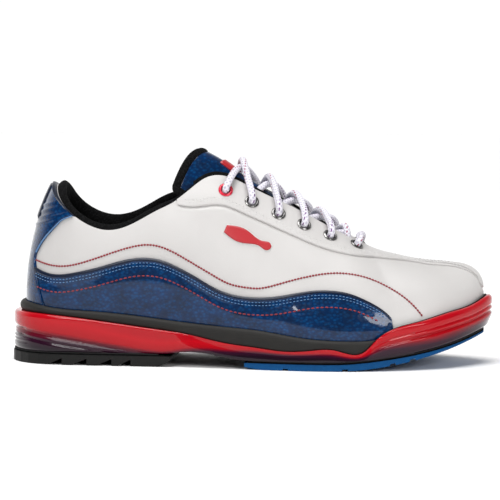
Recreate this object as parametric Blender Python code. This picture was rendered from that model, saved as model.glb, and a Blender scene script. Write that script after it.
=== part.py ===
"""Bowling shoe for the right foot, with a slide sole and a heel that peel off on hook-and-loop patches.

The shoe is drawn in millimetres: x runs from the back of the heel to the toe, y towards the inner side
of the foot and z up from the floor.  make_object() centres the drawing and scales it to metres.
Round the shoe, s runs from the toe (-1) along the outer side to the heel (0) and along the inner side
back to the toe (+1).  Up the shoe, t runs from the insole edge (0) to the top line (1).
"""
import math

import bmesh
import bpy
import numpy as np
from mathutils import Matrix, Vector

MM = 0.001

# Driving dimensions, in millimetres.  The outlines further down are drawn for the first three sizes.
DRAWN_LENGTH, DRAWN_WIDTH, DRAWN_HEIGHT = 305.0, 107.0, 100.0
LENGTH = 305.0  # back of the heel to the front of the toe bumper
WIDTH = 107.0  # across the sole at the ball of the foot
UPPER_HEIGHT = 100.0  # heel seat to the top of the tongue
GAP = 0.3  # clearance between glued or stitched layers
HEEL_PAD_THICKNESS = 6.6
SLIDE_PAD_THICKNESS = 4.0
LOOP_THICKNESS = 0.5  # loop cloth on the back of each pad
HOOK_THICKNESS = 0.5  # hook tape on the sole
ARCH_RISE = 1.5  # how far the waist of the sole rises above the heel patch
TOE_SPRING = 22.2  # how far the toe curls up from the floor
LEATHER = 1.4  # upper, vamp and heel overlay
OVERLAY = 1.2
STIFFENER = 0.8
LINING = 1.0
CAVITY = 2.0  # room for shank and cork filler under the insole board
SHANK_THICKNESS = 1.2
INSOLE_BOARD = 1.8
SOCK_LINER = 4.0
EYELET_RADIUS = 4.35
EYELET_HOLE_RADIUS = 2.8
LACE_DIAMETER = 4.4

LX, LY, LZ = LENGTH / DRAWN_LENGTH, WIDTH / DRAWN_WIDTH, UPPER_HEIGHT / DRAWN_HEIGHT
THROAT_BASE = 0.79  # |s| at which the two eyestays meet


# ---------------------------------------------------------------- smooth curves

class Curve:
    """A smooth curve through values at rising knots, straight beyond them or closed after a period."""

    def __init__(self, knots, values, period=None):
        knots, values = np.asarray(knots, float), np.asarray(values, float)
        self.flat = values.ndim == 1
        values = values.reshape(len(knots), -1)
        self.period, self.start = period, knots[0]
        if period:
            knots = np.concatenate([knots - period, knots, knots + period])
            values = np.concatenate([values] * 3)
        self.knots, self.values = knots, values
        steps = np.diff(knots)
        rises = np.diff(values, axis=0) / steps[:, None]
        count = len(knots)
        matrix, right = np.zeros((count, count)), np.zeros_like(values)
        matrix[0, :2], right[0] = (2, 1), 3 * rises[0]
        matrix[-1, -2:], right[-1] = (1, 2), 3 * rises[-1]
        for i in range(1, count - 1):
            matrix[i, i - 1:i + 2] = steps[i], 2 * (steps[i - 1] + steps[i]), steps[i - 1]
            right[i] = 3 * (steps[i] * rises[i - 1] + steps[i - 1] * rises[i])
        self.slopes = np.linalg.solve(matrix, right)

    def __call__(self, at):
        at = np.asarray(at, float)
        if self.period:
            at = np.mod(at - self.start, self.period) + self.start
        inside = np.clip(at, self.knots[0], self.knots[-1])
        i = np.clip(np.searchsorted(self.knots, inside, side="right") - 1, 0, len(self.knots) - 2)
        step = (self.knots[i + 1] - self.knots[i])[..., None]
        q = (inside - self.knots[i])[..., None] / step
        a, b = self.values[i], self.values[i + 1]
        m, n = self.slopes[i] * step, self.slopes[i + 1] * step
        value = (a * (1 + 2 * q) * (1 - q) ** 2 + m * q * (1 - q) ** 2
                 + b * q * q * (3 - 2 * q) + n * q * q * (q - 1))
        end = np.where((at > inside)[..., None], self.slopes[-1], self.slopes[0])
        value = value + end * (at - inside)[..., None]
        return value[..., 0] if self.flat else value


def unit(vectors):
    return vectors / np.maximum(np.linalg.norm(vectors, axis=-1, keepdims=True), 1e-12)


def smooth(x, start, end):
    """0 before start, 1 after end, and an even ramp between."""
    q = np.clip((x - start) / (end - start), 0, 1)
    return q * q * (3 - 2 * q)


# ---------------------------------------------------------------- sole heights along the shoe

def toe_spring(x):
    ahead = np.maximum(x / LX - 205, 0) / (DRAWN_LENGTH - 205)
    return TOE_SPRING * ahead ** 2.05


def slide_pad_thickness(x):
    """The slide pad thins towards the toe."""
    return SLIDE_PAD_THICKNESS * (1 - 0.72 * smooth(x, 232 * LX, 305 * LX))


PATCH = LOOP_THICKNESS + HOOK_THICKNESS
HEEL_DECK = HEEL_PAD_THICKNESS + PATCH + 2 * GAP
OUTSOLE_BODY = Curve([0, 60, 112, 150, 185, 305], [15.8, 12.8, 5.6, 3.2, 2.8, 2.8])
MIDSOLE_BODY = Curve([0, 112, 171, 205, 305], [8.7, 8.7, 6.6, 6.4, 6.4])


def outsole_bottom(x):
    ball_deck = slide_pad_thickness(x) + PATCH + 2 * GAP
    deck = HEEL_DECK + (ball_deck - HEEL_DECK) * smooth(x, 118 * LX, 158 * LX)
    arch = ARCH_RISE * smooth(x, 100 * LX, 118 * LX) * (1 - smooth(x, 128 * LX, 150 * LX))
    return deck + arch + toe_spring(x)


def outsole_top(x):
    return outsole_bottom(x) + OUTSOLE_BODY(x / LX)


def floor(x):
    """The top of the midsole, on which the insole board and the edge of the upper stand."""
    return outsole_top(x) + GAP + MIDSOLE_BODY(x / LX)


DRAWN_HEEL_SEAT, DRAWN_BALL_SEAT = 33.0, 15.1


def drawn_z(x, z):
    """Height of a point drawn at z above the floor, carried by the sole's real thickness at x."""
    heel = float(floor(np.array(0.0))) - DRAWN_HEEL_SEAT
    ball = float(floor(np.array(200.0 * LX))) - DRAWN_BALL_SEAT
    seat = DRAWN_HEEL_SEAT + (DRAWN_BALL_SEAT - DRAWN_HEEL_SEAT) * smooth(x, 60, 190)
    lift = heel + (ball - heel) * smooth(x, 60, 190)
    return seat + (z - seat) * LZ + lift


def side_curve(*points):
    """An edge seen from the side, drawn as (x, z) points from heel to toe."""
    x, z = np.array(points, float).T
    return Curve(x * LX, drawn_z(x, z))


# ---------------------------------------------------------------- the upper's surface

OUTER_SIDE = [(10, 0), (13.5, -16), (24, -28), (45, -33), (80, -34.5), (120, -38), (160, -45),
              (195, -49.5), (225, -48), (252, -40), (276, -27.5), (291.5, -10)]
INNER_SIDE = [(13.5, 16), (24, 27.5), (45, 32), (80, 31.5), (115, 31), (150, 35.5), (185, 43.5),
              (212, 47.5), (240, 46.5), (265, 40.5), (283.5, 29), (294, 19)]
TOE_TIP = (298, 7)


def plan_outline():
    """The insole edge seen from above, by s."""
    def distances(points):
        steps = np.hypot(*np.diff(np.array(points, float), axis=0).T)
        return np.concatenate([[0], np.cumsum(steps)]) / steps.sum()
    outer = OUTER_SIDE + [TOE_TIP]
    inner = OUTER_SIDE[:1] + INNER_SIDE + [TOE_TIP]
    knots = np.concatenate([-distances(outer)[:0:-1], distances(inner)[:-1]])
    points = outer[:0:-1] + inner[:-1]
    return Curve(knots, np.array(points, float) * (LX, LY), period=2)


EDGE = plan_outline()


def edge_normal(s):
    """Outward normal of the insole edge, in plan."""
    s = np.asarray(s, float)
    along = EDGE(s + 1e-3) - EDGE(s - 1e-3)
    return unit(np.stack([-along[..., 1], along[..., 0]], axis=-1))


# One row for each rib of the upper, from heel to toe:
# |s|, top line x, half gap, middle y, z, inner side higher;
# lower handle out, forward, up; upper handle back, out, down
RIBS = [
    (0.000, 27.0, 0.0, 0.0, 113.0, 0.0, 1.2, 0.0, 27.0, -12.5, 0.0, -22.0),
    (0.052, 28.0, 8.5, 0.0, 111.3, 0.0, 1.6, 0.0, 26.0, -11.0, 2.6, -22.0),
    (0.102, 31.5, 20.5, 0.0, 105.4, 0.0, 2.3, 0.5, 24.0, -7.0, 4.0, -20.0),
    (0.166, 44.0, 30.0, 0.0, 93.6, 0.5, 3.2, 0.5, 21.0, -2.0, 4.0, -18.0),
    (0.220, 61.0, 31.8, 0.0, 85.5, 3.0, 3.5, 0.0, 19.0, 0.0, 4.3, -17.0),
    (0.270, 77.0, 32.0, 0.0, 87.2, 5.0, 3.6, 0.0, 19.0, 0.0, 4.5, -17.0),
    (0.330, 96.0, 31.0, 0.0, 97.2, 5.0, 4.0, 0.0, 22.0, 1.0, 6.0, -20.0),
    (0.370, 106.5, 29.5, 0.0, 102.6, 4.0, 4.5, 0.0, 26.0, 3.0, 9.0, -21.0),
    (0.420, 118.0, 25.5, 0.0, 111.8, 2.5, 5.0, -1.0, 30.0, 5.0, 13.0, -22.0),
    (0.450, 126.0, 21.0, 0.0, 117.8, 1.5, 5.0, -2.0, 31.0, 5.0, 16.0, -23.0),
    (0.500, 141.0, 17.5, 0.0, 118.4, 0.5, 5.0, -4.0, 31.0, 4.0, 18.5, -24.0),
    (0.550, 157.5, 16.5, 0.0, 110.8, 0.0, 5.0, -4.0, 30.0, 3.0, 18.5, -22.0),
    (0.620, 180.0, 14.5, 0.0, 100.2, 0.0, 5.0, -4.0, 27.0, 2.5, 19.0, -17.0),
    (0.700, 205.0, 11.5, 0.0, 86.8, 0.0, 5.5, -4.0, 25.0, 2.0, 18.5, -9.5),
    (0.760, 219.0, 6.5, 0.0, 79.2, 0.0, 6.0, -2.0, 23.0, 2.0, 18.0, -3.0),
    (0.790, 228.0, 0.0, 0.3, 74.4, 0.0, 6.0, -2.0, 23.0, 2.0, 19.0, -0.6),
    (0.840, 239.5, -6.0, 1.4, 70.1, 0.0, 6.0, 0.0, 24.0, 2.5, 18.5, 0.0),
    (0.890, 252.0, -9.0, 3.0, 66.8, 0.0, 6.8, 1.0, 24.0, 4.0, 16.0, 0.0),
    (0.938, 265.0, -9.0, 4.6, 65.1, 0.0, 7.2, 0.0, 22.5, 8.0, 12.0, 0.0),
    (1.000, 279.0, 0.0, 6.2, 64.4, 0.0, 7.5, 0.0, 22.0, 19.0, 0.0, 0.0),
]


def rib_curve():
    """The ribs as one closed curve by s; what points sideways changes sign with the side."""
    rows = np.array(RIBS)
    at, top_x = rows[:, 0], rows[:, 1]
    rows[:, 4] = drawn_z(top_x, rows[:, 4])
    rows[:, (1, 7, 9)] *= LX
    rows[:, (2, 3, 10)] *= LY
    rows[:, (5, 8, 11)] *= LZ
    values = rows[:, 1:]
    mirror = np.ones(values.shape[1])
    mirror[9] = -1
    outer, inner = values[:0:-1] * mirror, values[:-1]
    return Curve(np.concatenate([-at[:0:-1], at[:-1]]), np.concatenate([outer, inner]), period=2)


RIB = rib_curve()


def rib(s, t):
    """A point on the outside of the upper."""
    s, t = np.broadcast_arrays(np.asarray(s, float), np.asarray(t, float))
    turn = np.mod(s + 1, 2) - 1
    side = np.where(turn < 0, -1.0, 1.0)
    v = RIB(s)
    top_x, half, middle, top_z, higher, out, ahead, rise, back, spread, drop = np.moveaxis(v, -1, 0)
    top_z = top_z + np.where(side > 0, higher, 0) * (np.abs(turn) < 0.6)
    half = np.where(np.abs(turn) >= THROAT_BASE, 0, np.maximum(half, 0))
    edge, normal = EDGE(s), edge_normal(s)
    low = np.concatenate([edge, (floor(edge[..., 0]) + GAP)[..., None]], axis=-1)
    lower = low + np.stack([normal[..., 0] * out + ahead, normal[..., 1] * out, rise], axis=-1)
    top = np.stack([top_x, middle + side * half, top_z], axis=-1)
    upper = top + np.stack([back, spread, drop], axis=-1)
    t = t[..., None]
    return ((1 - t) ** 3 * low + 3 * t * (1 - t) ** 2 * lower + 3 * t * t * (1 - t) * upper
            + t ** 3 * top)


def outward(s, t):
    """Outward normal of the upper, shared by both sides where they meet on the crest of the vamp."""
    s, t = np.broadcast_arrays(np.asarray(s, float), np.asarray(t, float))

    def one_side(s):
        near = np.clip(t, 0.004, 0.985)
        along = rib(s + 2e-3, near) - rib(s - 2e-3, near)
        up = rib(s, near + 4e-3) - rib(s, near - 4e-3)
        return unit(np.cross(up, along))

    normal = one_side(s)
    turn = np.abs(np.mod(s + 1, 2) - 1)
    crest = smooth(t, 0.9, 1.0) * (turn >= THROAT_BASE - 1e-9)
    return unit(normal + crest[..., None] * one_side(-s))


def skin(s, t, out=0.0):
    """A point out millimetres outside the upper."""
    return rib(s, t) + outward(s, t) * np.asarray(out, float)[..., None]


FINE_T = np.linspace(0, 1, 81)


def level(s, line):
    """The t at which each rib first crosses a side_curve."""
    s = np.asarray(s, float)
    points = rib(s[..., None], FINE_T)
    above = points[..., 2] - line(points[..., 0])
    crossed = above > 0
    first = np.where(crossed.any(axis=-1), crossed.argmax(axis=-1), len(FINE_T) - 1)
    before = np.maximum(first - 1, 0)
    a = np.take_along_axis(above, before[..., None], -1)[..., 0]
    b = np.take_along_axis(above, first[..., None], -1)[..., 0]
    share = np.where(first > before, np.clip(a / np.where(a == b, 1, a - b), 0, 1), 0)
    found = FINE_T[before] + share * (FINE_T[first] - FINE_T[before])
    return np.where(crossed.any(axis=-1), found, 1.0)


def as_share(s, t, distance):
    """A distance up the rib, as a step of t."""
    step = 5e-3
    t = np.clip(t, step, 1 - step)
    return distance * 2 * step / np.linalg.norm(rib(s, t + step) - rib(s, t - step), axis=-1)


def below_top(s, distance):
    """The t that lies a distance down each rib from the top line."""
    s = np.asarray(s, float)
    points = rib(s[..., None], FINE_T)
    lengths = np.linalg.norm(np.diff(points, axis=-2), axis=-1)[..., ::-1].cumsum(axis=-1)
    distance = np.broadcast_to(distance, s.shape)
    flat = [np.interp(d, np.concatenate([[0], row]), FINE_T[::-1])
            for d, row in zip(distance.ravel(), lengths.reshape(-1, len(FINE_T) - 1))]
    return np.array(flat).reshape(s.shape)


def reach(s, z):
    """How far the upper stands out from the insole edge at height z, seen from above."""
    s, z = np.broadcast_arrays(np.asarray(s, float), np.asarray(z, float))
    points = rib(s[..., None], FINE_T[:41])
    normal = edge_normal(s)[..., None, :]
    out = ((points[..., :2] - EDGE(s)[..., None, :]) * normal).sum(axis=-1)
    rows = zip(z.ravel(), points[..., 2].reshape(-1, 41), out.reshape(-1, 41))
    flat = [np.interp(height, heights, outs) for height, heights, outs in rows]
    return np.array(flat).reshape(s.shape)


def locate(side, x, z):
    """The s and t of points of the upper seen at (x, z) from one side; side is -1 outer, 1 inner."""
    x, z = np.broadcast_arrays(np.asarray(x, float), np.asarray(z, float))
    grid_s, grid_t = np.meshgrid(side * np.linspace(0.02, 0.98, 97), np.linspace(0.02, 0.98, 49),
                                 indexing="ij")
    seen = rib(grid_s, grid_t)[..., (0, 2)]
    target = np.stack([x, z], axis=-1)
    far = ((seen - target[..., None, None, :]) ** 2).sum(axis=-1)
    nearest = far.reshape(x.shape + (-1,)).argmin(axis=-1)
    s, t = grid_s.ravel()[nearest], grid_t.ravel()[nearest]
    for _ in range(12):
        here = rib(s, t)[..., (0, 2)]
        ds = (rib(s + 1e-4, t)[..., (0, 2)] - here) / 1e-4
        dt = (rib(s, t + 1e-4)[..., (0, 2)] - here) / 1e-4
        miss = target - here
        area = ds[..., 0] * dt[..., 1] - ds[..., 1] * dt[..., 0]
        s = s + (miss[..., 0] * dt[..., 1] - miss[..., 1] * dt[..., 0]) / area
        t = np.clip(t + (ds[..., 0] * miss[..., 1] - ds[..., 1] * miss[..., 0]) / area, 0, 1)
    return s, t


# ---------------------------------------------------------------- edges seen from the side

MUDGUARD_TOP = side_curve((18, 60.3), (30.5, 56.7), (46, 58.1), (61.5, 61.8), (77, 66.2), (90, 67.8),
                          (102, 66.1), (113, 61.7), (123, 56.5), (133, 50.9), (144, 46.6), (154, 44.9),
                          (173, 45.2), (196, 48.8), (207, 48.9), (218.5, 47.1), (230, 42.5), (241, 35.7),
                          (250, 26.7), (260, 14))
EYESTAY_SEAM = side_curve((100, 102), (106, 101.5), (119, 99.9), (131, 101.1), (139, 100.8),
                          (147, 97.9), (159, 92.6), (184, 81.8), (200, 75.3), (216, 71.1),
                          (231.5, 68.7), (249, 66.5), (268, 63.6), (286, 61.4), (291, 59.5), (296, 55.6),
                          (299, 51))
MIDSOLE_LIP = side_curve((0, 38.8), (10.5, 38.3), (30, 35.8), (60, 33.8), (109, 28.9), (138, 26.3),
                         (164, 24.3), (191.5, 20.2), (211, 18.9), (236, 19.4), (250, 21.8), (266, 25.3),
                         (284, 30.8), (298, 36), (310, 41))
OUTSOLE_RIM = side_curve((0, 32.3), (18.5, 32.1), (60, 28.3), (99, 23.4), (119, 20.6), (138.5, 16.5),
                         (164.5, 13.4), (177, 12), (197, 12.9), (210, 13.3), (219, 11),
                         (225, 10.6), (230, 13), (235.6, 19), (242.5, 24.4), (250, 27.4), (265.6, 31),
                         (284, 36), (298, 40.3), (303, 43.6))
HEEL_OVERLAY_EDGE = Curve([drawn_z(20.0, z) for z in (33, 47, 59.8, 66.5, 74, 81, 87.7, 91.5, 94)],
                          np.array([26.5, 22, 18.9, 18.2, 21.6, 27, 33.5, 38.6, 45.5]) * LX)


# ---------------------------------------------------------------- making objects

def material(name, colour, roughness, metallic=0.0):
    made = bpy.data.materials.new(name)
    made.use_nodes = True
    shader = made.node_tree.nodes["Principled BSDF"]
    shader.inputs["Base Color"].default_value = (*colour, 1)
    shader.inputs["Roughness"].default_value = roughness
    shader.inputs["Metallic"].default_value = metallic
    made.diffuse_color = (*colour, 1)
    return made


CENTRE = np.array([LENGTH / 2, -1.0 * LY, 0.0])


def make_object(name, points, faces, look, pivot=None):
    """A smooth-shaded object from points in the drawing; pivot is its origin, also in the drawing."""
    origin = np.zeros(3) if pivot is None else (np.array(pivot, float) - CENTRE) * MM
    placed = (np.asarray(points, float) - CENTRE) * MM - origin
    mesh = bpy.data.meshes.new(name)
    mesh.from_pydata([tuple(p) for p in placed], [], [tuple(f) for f in faces])
    mesh.materials.append(look)
    mesh.shade_smooth()
    mesh.set_sharp_from_angle(angle=math.radians(40))
    made = bpy.data.objects.new(name, mesh)
    made.location = origin
    bpy.context.collection.objects.link(made)
    return made


def grid_faces(rows, columns, closed=False):
    """Faces of a grid of points, turned so that they face up-rib cross round-shoe."""
    faces = []
    for i in range(rows if closed else rows - 1):
        for j in range(columns - 1):
            a, b = i * columns + j, ((i + 1) % rows) * columns + j
            faces.append((a, a + 1, b + 1, b))
    return faces


def thicken(outer, inner, faces):
    """One closed body between two grids of points, welded wherever the outer grid meets itself."""
    outer, inner = outer.reshape(-1, 3), inner.reshape(-1, 3)
    keys = np.round(outer, 3) + 0.0
    _, first, same = np.unique(keys, axis=0, return_index=True, return_inverse=True)
    same = np.asarray(same).reshape(-1)
    count = len(first)
    points = np.concatenate([outer[first], inner[first]])
    sheet, edges = [], {}
    for face in faces:
        corners = [int(same[c]) for c in face]
        corners = [c for k, c in enumerate(corners) if c != corners[k - 1]]
        if len(corners) < 3:
            continue
        sheet.append(corners)
        for k, c in enumerate(corners):
            edges[(corners[k - 1], c)] = True
    rim = [(a, b) for a, b in edges if (b, a) not in edges]
    walls = [(b, a, a + count, b + count) for a, b in rim]
    back = [[c + count for c in reversed(face)] for face in sheet]
    return points, sheet + back + walls


def panel(name, s, t, outside, thickness, look):
    """A piece of the upper over a grid of (s, t), from a distance outside the leather line inwards."""
    s, t = np.broadcast_arrays(s, t)
    outer = skin(s, t, np.full(s.shape, outside))
    inner = skin(s, t, np.full(s.shape, outside - thickness))
    return make_object(name, *thicken(outer, inner, grid_faces(*s.shape)), look)


def between(low, high, count):
    """A grid column from low to high at each station."""
    share = np.linspace(0, 1, count)
    return low[:, None] + (high - low)[:, None] * share


def plan_edges(out):
    """The sole's outline pushed out, as its outer and inner side: two (x, y) arrays with rising x."""
    s = np.linspace(-1, 1, 721)
    points = EDGE(s) + edge_normal(s) * np.asarray(out(s) if callable(out) else out)[..., None]
    points = points[:-1]
    heel, toe = points[:, 0].argmin(), points[:, 0].argmax()
    forward = np.roll(points, -heel, axis=0)
    split = (toe - heel) % len(points)
    inner, outer = forward[:split + 1], np.concatenate([forward[split:], forward[:1]])[::-1]
    return outer, inner


def slab(name, x, sides, low, high, look, columns=4, pivot=None):
    """A flat piece of the sole at stations x, between its sides and two heights given along x."""
    outer, inner = sides
    x = np.clip(x, max(outer[0, 0], inner[0, 0]), min(outer[-1, 0], inner[-1, 0]))
    near = np.interp(x, outer[:, 0], outer[:, 1])
    far = np.interp(x, inner[:, 0], inner[:, 1])
    y = between(far, near, columns + 1)
    across = np.broadcast_to(x[:, None], y.shape)
    top = np.stack([across, y, np.broadcast_to(high(x)[:, None], y.shape)], axis=-1)
    bottom = np.stack([across, y, np.broadcast_to(low(x)[:, None], y.shape)], axis=-1)
    return make_object(name, *thicken(top, bottom, grid_faces(*y.shape)), look, pivot)


def round_ends(start, end, count, sharp_start=True, sharp_end=True):
    """Stations from start to end that crowd together towards each round end."""
    low = -math.pi / 2 if sharp_start else 0.0
    high = math.pi / 2 if sharp_end else 0.0
    if not (sharp_start or sharp_end):
        return np.linspace(start, end, count)
    turn = np.sin(np.linspace(low, high, count))
    return start + (end - start) * (turn - turn[0]) / (turn[-1] - turn[0])


def sweep(name, sections, look):
    """A body through loops of points, closed with a flat face at each end."""
    rows, columns = sections.shape[:2]
    faces = [(i * columns + j, i * columns + (j + 1) % columns,
              (i + 1) * columns + (j + 1) % columns, (i + 1) * columns + j)
             for i in range(rows - 1) for j in range(columns)]
    faces.append(tuple(reversed(range(columns))))
    faces.append(tuple(range((rows - 1) * columns, rows * columns)))
    return make_object(name, sections.reshape(-1, 3), faces, look)


# ---------------------------------------------------------------- looks

def make_looks():
    return {
        "white": material("white_leather", (0.82, 0.80, 0.79), 0.45),
        "blue": material("blue_patent", (0.01, 0.09, 0.29), 0.2),
        "textile": material("black_textile", (0.015, 0.015, 0.017), 0.9),
        "eva": material("black_foam", (0.03, 0.03, 0.03), 0.8),
        "tpu": material("red_tpu", (0.75, 0.01, 0.03), 0.15),
        "slide": material("blue_slide_pad", (0.01, 0.16, 0.42), 0.7),
        "rubber": material("black_rubber", (0.02, 0.02, 0.02), 0.75),
        "hook": material("hook_tape", (0.012, 0.012, 0.012), 0.95),
        "board": material("fibre_board", (0.55, 0.45, 0.32), 0.9),
        "steel": material("spring_steel", (0.5, 0.5, 0.52), 0.35, 1.0),
        "cork": material("cork", (0.45, 0.28, 0.14), 0.95),
        "liner": material("sock_liner", (0.03, 0.03, 0.035), 0.9),
        "foam": material("grey_padding", (0.35, 0.35, 0.36), 0.95),
        "nickel": material("gunmetal_nickel", (0.42, 0.41, 0.40), 0.25, 1.0),
        "red_metal": material("red_eyelet", (0.7, 0.01, 0.04), 0.3, 0.6),
        "lace": material("white_lace", (0.8, 0.79, 0.82), 0.85),
        "aglet": material("clear_aglet", (0.75, 0.75, 0.78), 0.2),
        "red": material("red_trim", (0.72, 0.01, 0.05), 0.35),
    }


# ---------------------------------------------------------------- outlines of the sole layers

def round_stations():
    """Values of s round the whole shoe, closer together round the heel and the toe."""
    half = np.concatenate([np.linspace(0, 0.15, 10), np.linspace(0.15, EYESTAY_START, 6)[1:],
                           np.linspace(EYESTAY_START, THROAT_BASE, 9)[1:],
                           np.linspace(THROAT_BASE, 1, 9)[1:]])
    return np.concatenate([-half[::-1], half[1:]])


EYESTAY_START = 0.39
ROUND = round_stations()
WALL_OUT = Curve([0, 0.06, 0.13, 0.27, 0.45, 0.7, 0.85, 1], [9.4, 8.6, 7.2, 6.6, 5.8, 5.8, 5.6, 5.4])
LIP_CLEARANCE = OVERLAY + 2 * GAP + 0.1  # lip of the midsole clears the overlays
LIP_THICKNESS = 2.1
TOE_LIP_THICKNESS = 1.2


def wall_out(s):
    return WALL_OUT(np.abs(np.mod(s + 1, 2) - 1))


def toe_zone(x):
    """0 where overlays pass inside the lip of the midsole, 1 round the bare toe."""
    return smooth(x, 252 * LX, 268 * LX)


def lip_inside(s):
    return LIP_CLEARANCE + (GAP + 0.1 - LIP_CLEARANCE) * toe_zone(EDGE(s)[..., 0])


def lip_outside(s):
    thickness = LIP_THICKNESS + (TOE_LIP_THICKNESS - LIP_THICKNESS) * toe_zone(EDGE(s)[..., 0])
    return lip_inside(s) + thickness


def spine(s):
    """The line under the middle of the foot where the two sides of a sole layer meet."""
    x = np.clip((EDGE(s)[..., 0] + EDGE(-s)[..., 0]) / 2, 38 * LX, 266 * LX)
    return np.stack([x, 6 * LY * smooth(x, 180 * LX, 266 * LX)], axis=-1)


SOLE_ROWS = (0.0, 0.33, 0.66, 0.94)  # share of the way from spine to edge


def sole_rows(s, out, height):
    """Rows of a sole layer's flat, from the spine almost to the edge pushed out by out."""
    edge = EDGE(s) + edge_normal(s) * out[:, None]
    rows = [spine(s) + share * (edge - spine(s)) for share in SOLE_ROWS]
    return [np.column_stack([row, height(row[:, 0])]) for row in rows]


def wall_row(s, out, z):
    """A row round the edge at height z, keeping clear of the upper where it bulges."""
    bulge = np.where(z > floor(EDGE(s)[:, 0]), reach(s, z), 0)
    place = EDGE(s) + edge_normal(s) * (out + bulge)[:, None]
    return np.column_stack([place, z])


def cup(name, outer_rows, inner_rows, look):
    """A sole layer with an upstanding rim, from matching rows outside and inside."""
    outer, inner = np.stack(outer_rows, axis=1), np.stack(inner_rows, axis=1)
    return make_object(name, *thicken(outer, inner, grid_faces(*outer.shape[:2])), look)


# Rim profile of the outsole: height up the wall, and how far it stands in from the widest line
RIM_PROFILE = [(0.0, 1.0), (0.08, 0.0), (0.38, 0.2), (0.52, 1.6), (0.66, 0.6), (0.88, 1.0)]
RIM_EDGE = 1.0


def pushed_x(s, out):
    return (EDGE(s) + edge_normal(s) * out[:, None])[:, 0]


def tpu_outsole(look):
    s = ROUND
    inside, widest = lip_outside(s) + 1.6 * GAP + 0.3 * toe_zone(EDGE(s)[:, 0]), wall_out(s)
    x = pushed_x(s, widest)
    bottom, top, rim = outsole_bottom(x), outsole_top(pushed_x(s, inside)), OUTSOLE_RIM(x)
    depth = smooth(rim - bottom, 5, 14)
    outer = sole_rows(s, widest - 1, outsole_bottom)
    inner = sole_rows(s, inside, outsole_top)
    for height, inset in RIM_PROFILE:
        out = widest - inset * (depth if height else 1)
        outer.append(wall_row(s, out, bottom + (rim - bottom) * height))
        inner.append(wall_row(s, inside, top + (rim - top) * height))
    outer.append(wall_row(s, np.minimum(inside + RIM_EDGE, widest), rim))
    inner.append(wall_row(s, inside, rim))
    return cup("tpu_outsole", outer, inner, look)


def eva_midsole(look):
    s = ROUND
    inside, outside = lip_inside(s), lip_outside(s)
    x = pushed_x(s, outside)
    bottom, top = outsole_top(x) + GAP + 0.1, floor(pushed_x(s, inside))
    rim, lip = OUTSOLE_RIM(pushed_x(s, wall_out(s))), MIDSOLE_LIP(x)
    band = smooth(lip - rim, 1.2, 3.5)
    hidden = np.minimum(rim - 0.2, lip - 1.2)
    shown = np.maximum(rim + GAP, hidden + 0.4)
    outer = sole_rows(s, outside, lambda x: outsole_top(x) + GAP + 0.1)
    inner = sole_rows(s, inside, floor)
    outer += [wall_row(s, outside, bottom), wall_row(s, outside, hidden),
              wall_row(s, outside + 0.6 * band, np.minimum(shown, lip - 0.6)),
              wall_row(s, outside + 0.3 * band, shown + (lip - shown) * 0.6),
              wall_row(s, outside - 1.2 * band, lip)]
    inner += [wall_row(s, inside, top + (lip - top) * share) for share in (0, 0.25, 0.5, 0.75, 1)]
    return cup("eva_midsole", outer, inner, look)


# ---------------------------------------------------------------- pads and patches under the sole

HEEL_PAD_END = 107 * LX
SLIDE_PAD_START, SLIDE_PAD_END = 154 * LX, 301 * LX
SAWTEETH = [(28, 37.5), (43.5, 53.4), (59, 69.4), (73.2, 81.6)]
TOOTH_DEPTH = 4.3
GROOVES = (180, 217, 246, 258)
GROOVE_WIDTH, GROOVE_DEPTH = 3.5, 1.2
STEP = 0.05  # a wall that stands upright, as two stations this far apart


HEEL_PAD_OUT = (10.0, 6.6)  # how far the heel pad stands out at the back and at the sides
SLIDE_PAD_OUT = 4.4
PATCH_INSET = 0.6  # how far the tape stays in from the edge of its pad


def heel_out(s):
    back, sides = HEEL_PAD_OUT
    return back + (sides - back) * smooth(np.abs(s), 0.0, 0.13)


def slide_out(s):
    return np.full(np.shape(s), SLIDE_PAD_OUT)


def inset(line, distance):
    return lambda s: line(s) - distance


def sawtooth(x):
    """Depth of the heel's notches: each slopes up forwards and ends at an upright face."""
    depth = np.zeros_like(x)
    for start, end in SAWTEETH:
        share = (x - start * LX) / ((end - start) * LX)
        depth = np.where((share > 0) & (share <= 1), TOOTH_DEPTH * share, depth)
    return depth


def heel_pad(look):
    rear = round_ends(0.0, 29 * LX, 7, True, False)
    nose = HEEL_PAD_END - 26 * LX * (1 - np.sin(np.linspace(0, math.pi / 2, 7)))
    teeth = [x * LX for start, end in SAWTEETH for x in (start, end, end + STEP)]
    x = np.unique(np.concatenate([rear, teeth, nose]))

    def low(x):
        past = np.clip((x - (HEEL_PAD_END - 16 * LX)) / (16 * LX), 0, 0.98)
        return sawtooth(x) + (HEEL_PAD_THICKNESS - 1) * (1 - np.sqrt(1 - past ** 2))

    return slab("heel_pad", x, plan_edges(heel_out), low, lambda x: np.full(x.shape, HEEL_PAD_THICKNESS),
                look, pivot=(60 * LX, 0, HEEL_PAD_THICKNESS))


def slide_pad_top(x):
    return toe_spring(x) + slide_pad_thickness(x)


def slide_pad(look):
    x = round_ends(SLIDE_PAD_START, SLIDE_PAD_END, 24, False, True)
    walls = [(g + side * half) * LX for g in GROOVES for side in (-1, 1)
             for half in (GROOVE_WIDTH / 2, GROOVE_WIDTH / 2 + STEP)]
    x = np.unique(np.concatenate([x, walls]))

    def low(x):
        grooves = sum(np.abs(x / LX - g) <= GROOVE_WIDTH / 2 + 1e-6 for g in GROOVES)
        lead = np.clip((SLIDE_PAD_START + 12 * LX - x) / (12 * LX), 0, 1)
        return toe_spring(x) + GROOVE_DEPTH * grooves + 1.6 * lead ** 2

    return slab("slide_pad", x, plan_edges(slide_out), low, slide_pad_top, look, columns=5,
                pivot=(230 * LX, 0, SLIDE_PAD_THICKNESS))


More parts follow.
